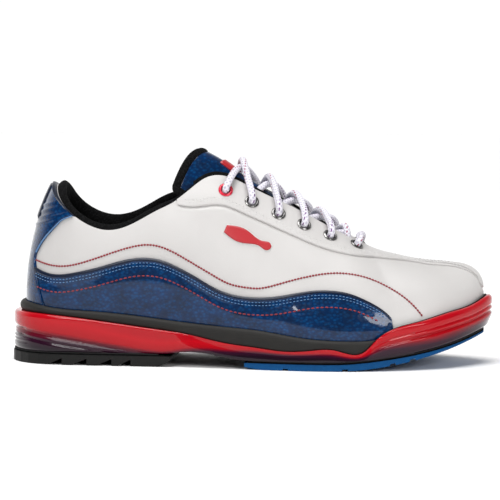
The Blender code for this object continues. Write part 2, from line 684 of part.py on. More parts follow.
def patch(name, start, end, line, low, thickness, look, pivot=None):
    """A thin layer of hook or loop tape between a pad and the sole."""
    x = round_ends(start, end, 22, line is heel_out, line is not heel_out)
    sides = plan_edges(inset(line, PATCH_INSET))
    return slab(name, x, sides, low, lambda x: low(x) + thickness, look, columns=3, pivot=pivot)


def heel_patches(looks):
    def loop(x):
        return np.full(x.shape, HEEL_PAD_THICKNESS + GAP / 2)

    def hook(x):
        return loop(x) + LOOP_THICKNESS + GAP

    patch("heel_pad_loop_backing", 0, HEEL_PAD_END - 4 * LX, heel_out, loop, LOOP_THICKNESS,
          looks["textile"], pivot=(60 * LX, 0, HEEL_PAD_THICKNESS))
    patch("heel_hook_patch", 0, HEEL_PAD_END - 8 * LX, heel_out, hook, HOOK_THICKNESS, looks["hook"])


def slide_patches(looks):
    def loop(x):
        return slide_pad_top(x) + GAP / 2

    def hook(x):
        return loop(x) + LOOP_THICKNESS + GAP

    patch("slide_pad_loop_backing", SLIDE_PAD_START + 2 * LX, SLIDE_PAD_END, slide_out, loop,
          LOOP_THICKNESS, looks["textile"], pivot=(230 * LX, 0, SLIDE_PAD_THICKNESS))
    patch("sole_hook_patch", SLIDE_PAD_START + 5 * LX, SLIDE_PAD_END, slide_out, hook,
          HOOK_THICKNESS, looks["hook"])


# ---------------------------------------------------------------- layers inside the shoe

BOARD_INSET = LEATHER + STIFFENER + LINING + 6 * GAP


def above_floor(height):
    return lambda x: floor(x) + height


def full_length_layer(name, edge_inset, height, thickness, look):
    sides = plan_edges(-edge_inset)
    ends = max(sides[0][0, 0], sides[1][0, 0]), min(sides[0][-1, 0], sides[1][-1, 0])
    x = round_ends(*ends, 22)
    return slab(name, x, sides, above_floor(height), above_floor(height + thickness), look)


def inner_layers(looks):
    board = GAP + CAVITY + GAP
    full_length_layer("insole_board", BOARD_INSET, board, INSOLE_BOARD, looks["board"])
    full_length_layer("sock_liner", BOARD_INSET + 0.3, board + INSOLE_BOARD + GAP, SOCK_LINER,
                      looks["liner"])
    shank = np.linspace(50, 158, 10) * LX
    half = 11 * LY
    sides = [np.array([(0, y), (LENGTH, y)]) for y in (-half, half)]
    rest = 2 * GAP
    slab("shank", shank, sides, above_floor(rest), above_floor(rest + SHANK_THICKNESS), looks["steel"],
         columns=2)
    forward = round_ends(172 * LX, 287 * LX, 14, False, True)
    slab("cork_filler", forward, plan_edges(-BOARD_INSET - 4), above_floor(GAP),
         above_floor(GAP + CAVITY), looks["cork"])


# ---------------------------------------------------------------- leather and lining

COLLAR_END = 0.455
LOW_EDGE = 0.012  # t of the lowest edge of an overlay, inside the lip of the midsole


def seam_level(s):
    return level(s, EYESTAY_SEAM)


def wall_rows(s):
    """The t of each row of the white wall, which ends just under the seam of the eyestays."""
    seam = seam_level(s)
    top = np.where(np.abs(s) > 0.35, np.minimum(seam - as_share(s, seam, GAP + 0.1), 1), 1)
    return between(np.zeros_like(s), top, 9)


def upper_wall(look):
    panel("upper_wall", ROUND[:, None], wall_rows(ROUND), 0, LEATHER, look)


def vamp_with_eyestays(look):
    """The top piece: two eyestays joined over the toes, with a hole for each eyelet."""
    half = ROUND[ROUND > EYESTAY_START - 1e-6]
    s = np.concatenate([half, 2 - half[-2::-1]])
    low = seam_level(s)
    piece = panel("vamp_with_eyestays", s[:, None], between(low, np.ones_like(s), 7), 0, LEATHER, look)
    cutter = eyelet_hole_cutter()
    cut = piece.modifiers.new("eyelet_holes", "BOOLEAN")
    cut.operation, cut.object = "DIFFERENCE", cutter


def overlay_edge(side, t):
    """The |s| at which the heel overlay ends, at each t."""
    low, high = np.zeros_like(t), np.full_like(t, 0.3)
    for _ in range(30):
        middle = (low + high) / 2
        point = rib(side * middle, t)
        past = point[..., 0] > HEEL_OVERLAY_EDGE(point[..., 2])
        low, high = np.where(past, low, middle), np.where(past, middle, high)
    return (low + high) / 2


def heel_overlay(look):
    t = np.linspace(LOW_EDGE, 0.995, 10)
    outer, inner = -overlay_edge(-1, t), overlay_edge(1, t)
    share = np.linspace(0, 1, 21)[:, None]
    panel("heel_overlay", outer + (inner - outer) * share, t[None, :], GAP + OVERLAY, OVERLAY, look)


def heel_tab(look):
    s = np.linspace(-0.035, 0.035, 6)[:, None]
    t = np.linspace(0.72, 0.985, 4)[None, :]
    panel("heel_tab", s, t, 2 * (GAP + OVERLAY), OVERLAY, look)


def mudguard(name, side, look):
    """The wave-shaped overlay along one side, from the heel overlay to the toe bumper."""
    share_along, share_up = np.meshgrid(np.linspace(0, 1, 27), np.linspace(0, 1, 5), indexing="ij")
    front = 0.775
    t = LOW_EDGE + 0.2 * share_up
    for _ in range(5):
        rear = overlay_edge(side, t) + 0.006
        along = rear + (front - rear) * share_along ** 1.35
        top = np.maximum(level(side * along, MUDGUARD_TOP), LOW_EDGE + 0.03)
        t = LOW_EDGE + (top - LOW_EDGE) * share_up
    s = side * along
    if side < 0:
        s, t = s[::-1], t[::-1]
    panel(name, s, t, GAP + OVERLAY, OVERLAY, look)


def stiffeners(look):
    inside = -LEATHER - 3 * GAP
    s = ROUND[np.abs(ROUND) < 0.2][:, None]
    panel("heel_counter", s, np.linspace(0.06, 0.6, 6)[None, :], inside, STIFFENER, look)
    half = ROUND[ROUND > 0.86]
    s = np.concatenate([half, 2 - half[-2::-1]])
    rows = wall_rows(np.mod(s + 1, 2) - 1)[:, 1:-2]
    panel("toe_puff", s[:, None], rows, inside, STIFFENER, look)


def lining(look):
    s = ROUND
    seam = seam_level(s) - 0.03
    collar = below_top(s, 16.0)
    top = np.where(np.abs(s) < 0.36, np.minimum(collar, np.where(np.abs(s) > 0.34, seam, 1)), seam)
    inside = -LEATHER - STIFFENER - 5.4 * GAP
    panel("lining", s[:, None], between(np.full_like(s, 0.04), top, 6), inside, LINING, look)


def collar_padding(look):
    """The stuffed roll round the ankle, behind the top edge of the upper."""
    s = np.linspace(-COLLAR_END, COLLAR_END, 39)
    along = np.abs(s)
    top, normal = rib(s, 1.0), outward(s, 0.97)
    up = unit(rib(s, 1.0) - rib(s, 0.96))
    thick = 3.2 - 2.2 * smooth(along, 0.26, 0.39)
    tall = 8.5 - 6.7 * smooth(along, 0.25, 0.39)
    shown = 4.2 - 2.2 * smooth(along, 0.3, 0.43)
    centre = top - normal * (LEATHER + 2 * GAP + thick)[:, None] + up * (shown - tall)[:, None]
    turns = np.linspace(0, 2 * math.pi, 8, endpoint=False)
    across, upwards = normal * thick[:, None], up * tall[:, None]
    sections = np.stack([centre + across * math.cos(a) + upwards * math.sin(a) for a in turns], axis=1)
    sweep("collar_padding", sections, look)


# ---------------------------------------------------------------- eyelets

EYELETS = [(139.4, 110), (155.8, 102.9), (172.6, 95.5), (188.6, 88.6), (204.9, 81.7), (221.2, 75.8)]


def eyelet_frame(row, side):
    """Centre and outward normal of an eyelet; row 0 is the top one."""
    x, z = EYELETS[row]
    s, t = locate(side, x * LX, float(drawn_z(x, z)))
    return rib(s, t).reshape(3), outward(s, t).reshape(3)


def turned(name, centre, axis, profile, segments, look):
    """A ring turned about an axis from a closed profile of (radius, height)."""
    frame = Vector(axis).to_track_quat("Z", "Y").to_matrix()
    points, faces, count = [], [], len(profile)
    for i in range(segments):
        turn = 2 * math.pi * i / segments
        for radius, height in profile:
            local = Vector((radius * math.cos(turn), radius * math.sin(turn), height))
            points.append(np.array(frame @ local) + centre)
        for j in range(count):
            k, n = (j + 1) % count, (i + 1) % segments
            faces.append((i * count + j, n * count + j, n * count + k, i * count + k))
    return make_object(name, points, faces, look)


BARREL = 0.4


def eyelets(looks):
    hole, flange = EYELET_HOLE_RADIUS, EYELET_RADIUS
    barrel = hole + BARREL
    profile = [(hole, -LEATHER - GAP), (barrel, -LEATHER - GAP), (barrel, GAP), (flange, GAP),
               (flange, GAP + 0.4), (hole + 0.9, GAP + 0.9), (hole, GAP + 0.5)]
    for side, name in ((-1, "outer"), (1, "inner")):
        for row in range(len(EYELETS)):
            centre, normal = eyelet_frame(row, side)
            look = looks["red_metal" if row == 0 else "nickel"]
            turned(f"eyelet_{name}_{row + 1}", centre, normal, profile, 10, look)


def eyelet_hole_cutter():
    """Twelve round punches, one for each eyelet's barrel."""
    made = bmesh.new()
    radius = (EYELET_HOLE_RADIUS + BARREL + GAP) * MM / math.cos(math.pi / 12)
    for side in (-1, 1):
        for row in range(len(EYELETS)):
            centre, normal = eyelet_frame(row, side)
            turn = Vector(normal).to_track_quat("Z", "Y").to_matrix().to_4x4()
            place = Matrix.Translation(Vector((centre - CENTRE) * MM)) @ turn
            bmesh.ops.create_cone(made, cap_ends=True, segments=12, radius1=radius, radius2=radius,
                                  depth=6 * MM, matrix=place)
    mesh = bpy.data.meshes.new("eyelet_punches")
    made.to_mesh(mesh)
    made.free()
    cutter = bpy.data.objects.new("eyelet_punches", mesh)
    cutter.hide_render, cutter.display_type = True, "WIRE"
    bpy.context.collection.objects.link(cutter)
    return cutter


# ---------------------------------------------------------------- tongue

# Middle line of the tongue from its top to its hinge: x, z, half width, fall and lean of its sides,
# and how square its shoulders are
TONGUE = [(123, 134.5, 20.5, 25, 16, 3.2), (134, 128.7, 20.5, 26, 12, 2.6), (145, 121, 20, 26.5, 8, 2.1),
          (164, 109.0, 19.5, 26, 4, 2), (180, 98.8, 18.5, 25.5, 2, 2), (196, 88.6, 17.5, 24.5, 0, 2),
          (213, 77.5, 16, 20, -1, 2), (222, 71.4, 15.5, 16, -1, 2), (231, 67.3, 15, 11, -1, 2)]
TONGUE_SHELL = 1.2
TONGUE_PADDING = 3.6
TONGUE_LINING = 0.8
TONGUE_HINGE = (231.0, 67.0)


def tongue_curve():
    x, z, half, fall, lean, square = np.array(TONGUE, float).T
    steps = np.concatenate([[0], np.cumsum(np.hypot(np.diff(x), np.diff(z)))])
    values = np.column_stack([x * LX, drawn_z(x, z), half * LY, fall * LZ, lean * LX, square])
    return Curve(steps / steps[-1], values)


TONGUE_LINE = tongue_curve()


def tongue_surface(v, w):
    """A point on the tongue's face: v from its top to the hinge, w across from -1 to 1."""
    x, z, half, fall, lean, square = np.moveaxis(TONGUE_LINE(v), -1, 0)
    across = np.abs(w)
    return np.stack([x - lean * across ** 1.6, half * w, z - fall * across ** square], axis=-1)


def tongue_point(v, w, out):
    along = tongue_surface(v + 1e-3, w) - tongue_surface(v - 1e-3, w)
    across = tongue_surface(v, w + 1e-3) - tongue_surface(v, w - 1e-3)
    return tongue_surface(v, w) + unit(np.cross(along, across)) * out


def tongue_layer(name, v_range, width, outside, thickness, look, rows=12, columns=8):
    """A layer of the tongue, from a distance outside its face inwards, hung on the hinge."""
    v = np.linspace(*v_range, rows)[:, None]
    w = np.linspace(-width, width, columns + 1)[None, :]
    v, w = np.broadcast_arrays(v, w)
    outer, inner = tongue_point(v, w, outside), tongue_point(v, w, outside - thickness)
    faces = [face[::-1] for face in grid_faces(*v.shape)]
    pivot = (TONGUE_HINGE[0] * LX, 0, float(drawn_z(*TONGUE_HINGE)))
    return make_object(name, *thicken(outer, inner, faces), look, pivot)


def tongue(looks):
    tongue_layer("tongue_shell", (0.0, 0.985), 1.0, 0, TONGUE_SHELL, looks["blue"])
    under = -TONGUE_SHELL - 2 * GAP
    tongue_layer("tongue_padding", (0.02, 0.86), 0.86, under, TONGUE_PADDING, looks["foam"], 9, 6)
    under -= TONGUE_PADDING + GAP
    tongue_layer("tongue_lining", (0.01, 0.9), 0.86, under, TONGUE_LINING, looks["textile"], 10, 6)
    tongue_layer("tongue_label", (0.11, 0.2), 0.3, GAP + 0.8, 0.8, looks["red"], 4, 4)


# ---------------------------------------------------------------- emblem on the outer side

# A bowling pin lying along the side: share of its length and half width, in millimetres
PIN_LENGTH = 31.0
PIN_HALF_WIDTHS = Curve([0, 0.08, 0.3, 0.5, 0.66, 0.78, 0.88, 0.96, 1],
                        [2.3, 3.1, 4.4, 3.5, 2.0, 1.8, 2.5, 2.1, 0.9])
PIN_BASE = (140.5, 86.5)
PIN_TILT = math.radians(-22)


def side_emblem(look):
    share = np.linspace(0, 1, 15)
    half = PIN_HALF_WIDTHS(share)
    across = np.linspace(-1, 1, 4)
    tilt = np.array([math.cos(PIN_TILT), math.sin(PIN_TILT)])
    cross = np.array([-tilt[1], tilt[0]])
    base = np.array([PIN_BASE[0] * LX, float(drawn_z(*PIN_BASE))])
    seen = (base + PIN_LENGTH * share[:, None, None] * tilt
            + (half[:, None] * across)[..., None] * cross)
    s, t = locate(-1, seen[..., 0], seen[..., 1])
    panel("side_emblem", s[:, ::-1], t[:, ::-1], GAP + 0.9, 0.9, look)


# ---------------------------------------------------------------- lace

LACE_RADIUS = LACE_DIAMETER / 2
LACE_CLEAR = LACE_RADIUS + 1.0
AGLET_LENGTH = 18.0
SOCK_TOP = 3 * GAP + CAVITY + INSOLE_BOARD + SOCK_LINER  # above the midsole


def crown(x):
    """Height of the middle of the tongue at x."""
    v = np.linspace(0, 1, 200)
    points = tongue_surface(v, np.zeros_like(v))
    return float(np.interp(x, points[:, 0], points[:, 2]))


def through(row, side, out):
    """The way through an eyelet: outwards when out is 1, inwards when it is -1."""
    centre, normal = eyelet_frame(row, side)
    return [centre + normal * out * h for h in (-2.3, 0.0, 2.3)]


def throat_edge(x, side):
    """The top edge of the eyestay at x."""
    s = side * np.linspace(EYESTAY_START, THROAT_BASE, 120)
    top = rib(s, 1.0)
    i = np.abs(top[:, 0] - x).argmin()
    return top[i], outward(s[i], 0.97).reshape(3)


def over_edge(row, side, toward_x, outside):
    """Points beside an eyelet and at the throat edge, over the eyestay or under it."""
    centre, normal = eyelet_frame(row, side)
    x = centre[0] + 0.35 * (toward_x - centre[0])
    edge, lift = throat_edge(x, side)
    offset = LACE_CLEAR if outside else -LEATHER - LACE_CLEAR
    step = unit(edge - centre) * 3.2
    beside = centre + step + normal * (EYELET_LIFT + LACE_RADIUS if outside else -LEATHER - LACE_CLEAR)
    return [beside, edge + lift * offset]


EYELET_LIFT = GAP + 1.8


TONGUE_SLOPE = math.radians(30)


def crossing(row_a, side_a, outside_a, row_b, side_b, outside_b, upper):
    """One strand from an eyelet over the tongue to an eyelet on the other side."""
    xa, xb = EYELETS[row_a][0] * LX, EYELETS[row_b][0] * LX
    middle = (xa + xb) / 2
    height = crown(middle) + LACE_CLEAR / math.cos(TONGUE_SLOPE) + (LACE_DIAMETER + 0.8 if upper else 0.7)
    leave = over_edge(row_a, side_a, middle, outside_a)
    arrive = over_edge(row_b, side_b, middle, outside_b)
    return leave + [np.array([middle, 0.0, height])] + arrive[::-1]


def tail(side):
    """The loose end of the lace, tucked in beside the tongue and laid forwards on the sock liner."""
    x, z = np.array([(147, 98), (153, 84), (158, 68), (165, 50)], float).T
    s, t = locate(side, x * LX, drawn_z(x, z))
    inside = LEATHER + STIFFENER + LINING + 8 * GAP + LACE_CLEAR
    down = skin(s, t, np.full(s.shape, -inside))
    x, y = np.array([(182, 33), (203, 34), (226, 31), (246, 25), (262, 19)], float).T
    laid = np.column_stack([x * LX, side * y * LY, floor(x * LX) + SOCK_TOP + LACE_RADIUS + 1.6])
    return list(down) + list(laid)


def lace_route():
    """The whole way of the lace, from one loose end to the other."""
    outer, inner = -1, 1
    route = tail(outer)[::-1] + through(0, outer, 1)
    route += crossing(0, outer, True, 1, inner, True, False) + through(1, inner, -1)
    route += crossing(1, inner, False, 2, outer, True, True) + through(2, outer, -1)
    route += crossing(2, outer, False, 3, inner, True, False) + through(3, inner, -1)
    route += crossing(3, inner, False, 4, outer, True, True) + through(4, outer, -1)
    route += crossing(4, outer, False, 5, inner, False, False) + through(5, inner, 1)
    lowest_x = EYELETS[5][0] * LX
    route += over_edge(5, inner, lowest_x, True) + over_edge(5, outer, lowest_x, True)[::-1]
    route += through(5, outer, -1)
    route += crossing(5, outer, False, 4, inner, False, True) + through(4, inner, 1)
    route += crossing(4, inner, True, 3, outer, False, False) + through(3, outer, 1)
    route += crossing(3, outer, True, 2, inner, False, True) + through(2, inner, 1)
    route += crossing(2, inner, True, 1, outer, False, False) + through(1, outer, 1)
    route += crossing(1, outer, True, 0, inner, True, True) + through(0, inner, -1)
    return np.array(route + tail(inner))


def resampled(route, bend, longest):
    """Points along a smooth curve through the route, closer together where it bends."""
    steps = np.concatenate([[0], np.cumsum(np.linalg.norm(np.diff(route, axis=0), axis=1) ** 0.7)])
    line = Curve(steps, route)(np.linspace(0, steps[-1], 6000))
    kept, heading, travelled = [0], None, 0.0
    for i in range(1, len(line) - 1):
        move = line[i + 1] - line[i]
        travelled += float(np.linalg.norm(line[i] - line[i - 1]))
        direction = move / np.linalg.norm(move)
        heading = direction if heading is None else heading
        turned_by = math.acos(max(-1.0, min(1.0, float(direction @ heading))))
        if turned_by > bend or travelled > longest:
            kept.append(i)
            heading, travelled = direction, 0.0
    return line[kept + [len(line) - 1]]


def lace(looks):
    points = (resampled(lace_route(), math.radians(22), 16.0) - CENTRE) * MM
    curve = bpy.data.curves.new("lace", "CURVE")
    curve.dimensions, curve.bevel_resolution, curve.use_fill_caps = "3D", 1, True
    curve.bevel_depth = LACE_DIAMETER / 2 * MM
    line = curve.splines.new("POLY")
    line.points.add(len(points) - 1)
    for spot, point in zip(line.points, points):
        spot.co = (*point, 1)
    curve.materials.append(looks["lace"])
    bpy.context.collection.objects.link(bpy.data.objects.new("lace", curve))
    for name, end, before in (("outer", points[0], points[1]), ("inner", points[-1], points[-2])):
        aglet(name, end / MM + CENTRE, before / MM + CENTRE, looks["aglet"])


def aglet(name, end, before, look):
    """The stiff tip on the end of the lace."""
    axis = unit(end - before)
    turn = Vector(axis).to_track_quat("Z", "Y").to_matrix()
    sections = []
    for height, radius in ((GAP, 1.9), (GAP + 1.5, 1.6), (AGLET_LENGTH - 1, 1.5), (AGLET_LENGTH, 1.1)):
        ring = [turn @ Vector((radius * math.cos(a), radius * math.sin(a), height))
                for a in np.linspace(0, 2 * math.pi, 8, endpoint=False)]
        sections.append([np.array(p) + end for p in ring])
    sweep(f"aglet_{name}", np.array(sections), look)


# ---------------------------------------------------------------- the shoe

def clear_scene():
    for item in list(bpy.data.objects):
        bpy.data.objects.remove(item, do_unlink=True)


def build():
    clear_scene()
    looks = make_looks()
    heel_pad(looks["rubber"])
    heel_patches(looks)
    slide_pad(looks["slide"])
    slide_patches(looks)
    tpu_outsole(looks["tpu"])
    eva_midsole(looks["eva"])
    inner_layers(looks)
    upper_wall(looks["white"])
    vamp_with_eyestays(looks["white"])
    heel_overlay(looks["blue"])
    heel_tab(looks["blue"])
    mudguard("mudguard_outer", -1, looks["blue"])
    mudguard("mudguard_inner", 1, looks["blue"])
    stiffeners(looks["board"])
    lining(looks["textile"])
    collar_padding(looks["textile"])
    eyelets(looks)
    tongue(looks)
    side_emblem(looks["red"])
    lace(looks)


build()
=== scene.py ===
"""Looks of the bowling shoe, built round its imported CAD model.

Shapes are drawn in millimetres as x from the back of the heel, y towards the inner side and z up, and
piece() brings them into the frame.  Round the shoe, s runs from the toe (-1) along the outer side to the
heel (0) and along the inner side back to the toe (+1).  Up the shoe, t runs from the insole edge (0) to
the top line (1).
"""
import math

import bpy
import numpy as np
from mathutils import Matrix, Vector


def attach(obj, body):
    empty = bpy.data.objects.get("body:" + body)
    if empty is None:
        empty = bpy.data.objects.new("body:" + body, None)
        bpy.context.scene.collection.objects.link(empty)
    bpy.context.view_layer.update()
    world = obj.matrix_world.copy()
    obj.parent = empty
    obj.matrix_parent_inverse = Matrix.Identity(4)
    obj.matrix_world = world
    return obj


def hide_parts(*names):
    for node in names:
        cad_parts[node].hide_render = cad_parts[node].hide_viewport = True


MM = 0.001
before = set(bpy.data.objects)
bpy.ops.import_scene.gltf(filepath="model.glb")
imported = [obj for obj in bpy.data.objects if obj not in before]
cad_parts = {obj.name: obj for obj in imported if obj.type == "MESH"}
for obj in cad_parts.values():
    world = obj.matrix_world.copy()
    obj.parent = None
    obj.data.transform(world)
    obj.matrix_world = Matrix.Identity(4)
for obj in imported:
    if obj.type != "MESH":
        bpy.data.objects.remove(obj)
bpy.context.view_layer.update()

LENGTH = 305.0
GAP = 0.3
HEEL_PAD_THICKNESS = 6.6
SLIDE_PAD_THICKNESS = 4.0
PATCH = 1.0  # hook tape and loop cloth
TOE_SPRING = 22.2
LEATHER = 1.4
OVERLAY = 1.2
INSIDE = 3.2  # leather, stiffener and lining
EYELET_RADIUS = 4.35
EYELET_HOLE_RADIUS = 2.8
LACE_RADIUS = 2.2
THROAT_BASE = 0.79  # |s| at which the two eyestays meet
EYESTAY_START = 0.39
SIDES = ((-1, "outer"), (1, "inner"))


# ---- smooth curves

class Curve:
    """A smooth curve through values at rising knots, straight beyond them or closed after a period."""

    def __init__(self, knots, values, period=None):
        knots, values = np.asarray(knots, float), np.asarray(values, float)
        self.flat = values.ndim == 1
        values = values.reshape(len(knots), -1)
        self.period, self.start = period, knots[0]
        if period:
            knots = np.concatenate([knots - period, knots, knots + period])
            values = np.concatenate([values] * 3)
        self.knots, self.values = knots, values
        steps = np.diff(knots)
        rises = np.diff(values, axis=0) / steps[:, None]
        count = len(knots)
        matrix, right = np.zeros((count, count)), np.zeros_like(values)
        matrix[0, :2], right[0] = (2, 1), 3 * rises[0]
        matrix[-1, -2:], right[-1] = (1, 2), 3 * rises[-1]
        for i in range(1, count - 1):
            matrix[i, i - 1:i + 2] = steps[i], 2 * (steps[i - 1] + steps[i]), steps[i - 1]
            right[i] = 3 * (steps[i] * rises[i - 1] + steps[i - 1] * rises[i])
        self.slopes = np.linalg.solve(matrix, right)

    def __call__(self, at):
        at = np.asarray(at, float)
        if self.period:
            at = np.mod(at - self.start, self.period) + self.start
        inside = np.clip(at, self.knots[0], self.knots[-1])
        i = np.clip(np.searchsorted(self.knots, inside, side="right") - 1, 0, len(self.knots) - 2)
        step = (self.knots[i + 1] - self.knots[i])[..., None]
        q = (inside - self.knots[i])[..., None] / step
        a, b = self.values[i], self.values[i + 1]
        m, n = self.slopes[i] * step, self.slopes[i + 1] * step
        value = (a * (1 + 2 * q) * (1 - q) ** 2 + m * q * (1 - q) ** 2
                 + b * q * q * (3 - 2 * q) + n * q * q * (q - 1))
        end = np.where((at > inside)[..., None], self.slopes[-1], self.slopes[0])
        value = value + end * (at - inside)[..., None]
        return value[..., 0] if self.flat else value


def unit(vectors):
    return vectors / np.maximum(np.linalg.norm(vectors, axis=-1, keepdims=True), 1e-12)


def distances(points):
    """The distance along a line of points to each of them."""
    return np.concatenate([[0], np.cumsum(np.linalg.norm(np.diff(points, axis=0), axis=1))])


def at_distances(points, run, at):
    """The points that lie at some distances along a line."""
    return np.column_stack([np.interp(at, run, column) for column in points.T])


def circle(count):
    """Angles evenly round a circle."""
    return np.linspace(0, 2 * math.pi, count, endpoint=False)


def smooth(x, start, end):
    """0 before start, 1 after end, and an even ramp between."""
    q = np.clip((x - start) / (end - start), 0, 1)
    return q * q * (3 - 2 * q)


# ---- sole heights along the shoe

def toe_spring(x):
    return TOE_SPRING * (np.maximum(x - 205, 0) / 100) ** 2.05


def slide_pad_thickness(x):
    """The slide pad thins towards the toe."""
    return SLIDE_PAD_THICKNESS * (1 - 0.72 * smooth(x, 232, 305))


HEEL_DECK = HEEL_PAD_THICKNESS + PATCH + 2 * GAP
OUTSOLE_BODY = Curve([0, 60, 112, 150, 185, 305], [15.8, 12.8, 5.6, 3.2, 2.8, 2.8])
MIDSOLE_BODY = Curve([0, 112, 171, 205, 305], [8.7, 8.7, 6.6, 6.4, 6.4])


def outsole_bottom(x):
    ball_deck = slide_pad_thickness(x) + PATCH + 2 * GAP
    deck = HEEL_DECK + (ball_deck - HEEL_DECK) * smooth(x, 118, 158)
    arch = 1.5 * smooth(x, 100, 118) * (1 - smooth(x, 128, 150))
    return deck + arch + toe_spring(x)


def outsole_top(x):
    return outsole_bottom(x) + OUTSOLE_BODY(x)


def floor(x):
    """The top of the midsole, on which the edge of the upper stands."""
    return outsole_top(x) + GAP + MIDSOLE_BODY(x)


def side_curve(*points):
    """An edge seen from the side, as (x, z) points from heel to toe."""
    x, z = np.array(points, float).T
    return Curve(x, z)


# ---- the upper's surface

OUTER_SIDE = [(10, 0), (13.5, -16), (24, -28), (45, -33), (80, -34.5), (120, -38), (160, -45),
              (195, -49.5), (225, -48), (252, -40), (276, -27.5), (291.5, -10)]
INNER_SIDE = [(13.5, 16), (24, 27.5), (45, 32), (80, 31.5), (115, 31), (150, 35.5), (185, 43.5),
              (212, 47.5), (240, 46.5), (265, 40.5), (283.5, 29), (294, 19)]
TOE_TIP = (298, 7)


def plan_outline():
    """The insole edge seen from above, by s."""
    def shares(points):
        run = distances(np.array(points, float))
        return run / run[-1]
    outer = OUTER_SIDE + [TOE_TIP]
    inner = OUTER_SIDE[:1] + INNER_SIDE + [TOE_TIP]
    knots = np.concatenate([-shares(outer)[:0:-1], shares(inner)[:-1]])
    points = outer[:0:-1] + inner[:-1]
    return Curve(knots, np.array(points, float), period=2)


EDGE = plan_outline()


def edge_normal(s):
    """Outward normal of the insole edge, in plan."""
    s = np.asarray(s, float)
    along = EDGE(s + 1e-3) - EDGE(s - 1e-3)
    return unit(np.stack([-along[..., 1], along[..., 0]], axis=-1))


# One row for each rib of the upper, from heel to toe:
# |s|, top line x, half gap, middle y, z, inner side higher;
# lower handle out, forward, up; upper handle back, out, down
RIBS = [
    (0.000, 27.0, 0.0, 0.0, 113.0, 0.0, 1.2, 0.0, 27.0, -12.5, 0.0, -22.0),
    (0.052, 28.0, 8.5, 0.0, 111.3, 0.0, 1.6, 0.0, 26.0, -11.0, 2.6, -22.0),
    (0.102, 31.5, 20.5, 0.0, 105.4, 0.0, 2.3, 0.5, 24.0, -7.0, 4.0, -20.0),
    (0.166, 44.0, 30.0, 0.0, 93.6, 0.5, 3.2, 0.5, 21.0, -2.0, 4.0, -18.0),
    (0.220, 61.0, 31.8, 0.0, 85.5, 3.0, 3.5, 0.0, 19.0, 0.0, 4.3, -17.0),
    (0.270, 77.0, 32.0, 0.0, 87.2, 5.0, 3.6, 0.0, 19.0, 0.0, 4.5, -17.0),
    (0.330, 96.0, 31.0, 0.0, 97.2, 5.0, 4.0, 0.0, 22.0, 1.0, 6.0, -20.0),
    (0.370, 106.5, 29.5, 0.0, 102.6, 4.0, 4.5, 0.0, 26.0, 3.0, 9.0, -21.0),
    (0.420, 118.0, 25.5, 0.0, 111.8, 2.5, 5.0, -1.0, 30.0, 5.0, 13.0, -22.0),
    (0.450, 126.0, 21.0, 0.0, 117.8, 1.5, 5.0, -2.0, 31.0, 5.0, 16.0, -23.0),
    (0.500, 141.0, 17.5, 0.0, 118.4, 0.5, 5.0, -4.0, 31.0, 4.0, 18.5, -24.0),
    (0.550, 157.5, 16.5, 0.0, 110.8, 0.0, 5.0, -4.0, 30.0, 3.0, 18.5, -22.0),
    (0.620, 180.0, 14.5, 0.0, 100.2, 0.0, 5.0, -4.0, 27.0, 2.5, 19.0, -17.0),
    (0.700, 205.0, 11.5, 0.0, 86.8, 0.0, 5.5, -4.0, 25.0, 2.0, 18.5, -9.5),
    (0.760, 219.0, 6.5, 0.0, 79.2, 0.0, 6.0, -2.0, 23.0, 2.0, 18.0, -3.0),
    (0.790, 228.0, 0.0, 0.3, 74.4, 0.0, 6.0, -2.0, 23.0, 2.0, 19.0, -0.6),
    (0.840, 239.5, -6.0, 1.4, 70.1, 0.0, 6.0, 0.0, 24.0, 2.5, 18.5, 0.0),
    (0.890, 252.0, -9.0, 3.0, 66.8, 0.0, 6.8, 1.0, 24.0, 4.0, 16.0, 0.0),
    (0.938, 265.0, -9.0, 4.6, 65.1, 0.0, 7.2, 0.0, 22.5, 8.0, 12.0, 0.0),
    (1.000, 279.0, 0.0, 6.2, 64.4, 0.0, 7.5, 0.0, 22.0, 19.0, 0.0, 0.0),
]


def rib_curve():
    """The ribs as one closed curve by s; what points sideways changes sign with the side."""
    rows = np.array(RIBS)
    at, values = rows[:, 0], rows[:, 1:]
    mirror = np.ones(values.shape[1])
    mirror[9] = -1
    outer, inner = values[:0:-1] * mirror, values[:-1]
    return Curve(np.concatenate([-at[:0:-1], at[:-1]]), np.concatenate([outer, inner]), period=2)


RIB = rib_curve()


def rib(s, t):
    """A point on the outside of the upper."""
    s, t = np.broadcast_arrays(np.asarray(s, float), np.asarray(t, float))
    turn = np.mod(s + 1, 2) - 1
    side = np.where(turn < 0, -1.0, 1.0)
    v = RIB(s)
    top_x, half, middle, top_z, higher, out, ahead, rise, back, spread, drop = np.moveaxis(v, -1, 0)
    top_z = top_z + np.where(side > 0, higher, 0) * (np.abs(turn) < 0.6)
    half = np.where(np.abs(turn) >= THROAT_BASE, 0, np.maximum(half, 0))
    edge, normal = EDGE(s), edge_normal(s)
    low = np.concatenate([edge, (floor(edge[..., 0]) + GAP)[..., None]], axis=-1)
    lower = low + np.stack([normal[..., 0] * out + ahead, normal[..., 1] * out, rise], axis=-1)
    top = np.stack([top_x, middle + side * half, top_z], axis=-1)
    upper = top + np.stack([back, spread, drop], axis=-1)
    t = t[..., None]
    return ((1 - t) ** 3 * low + 3 * t * (1 - t) ** 2 * lower + 3 * t * t * (1 - t) * upper
            + t ** 3 * top)


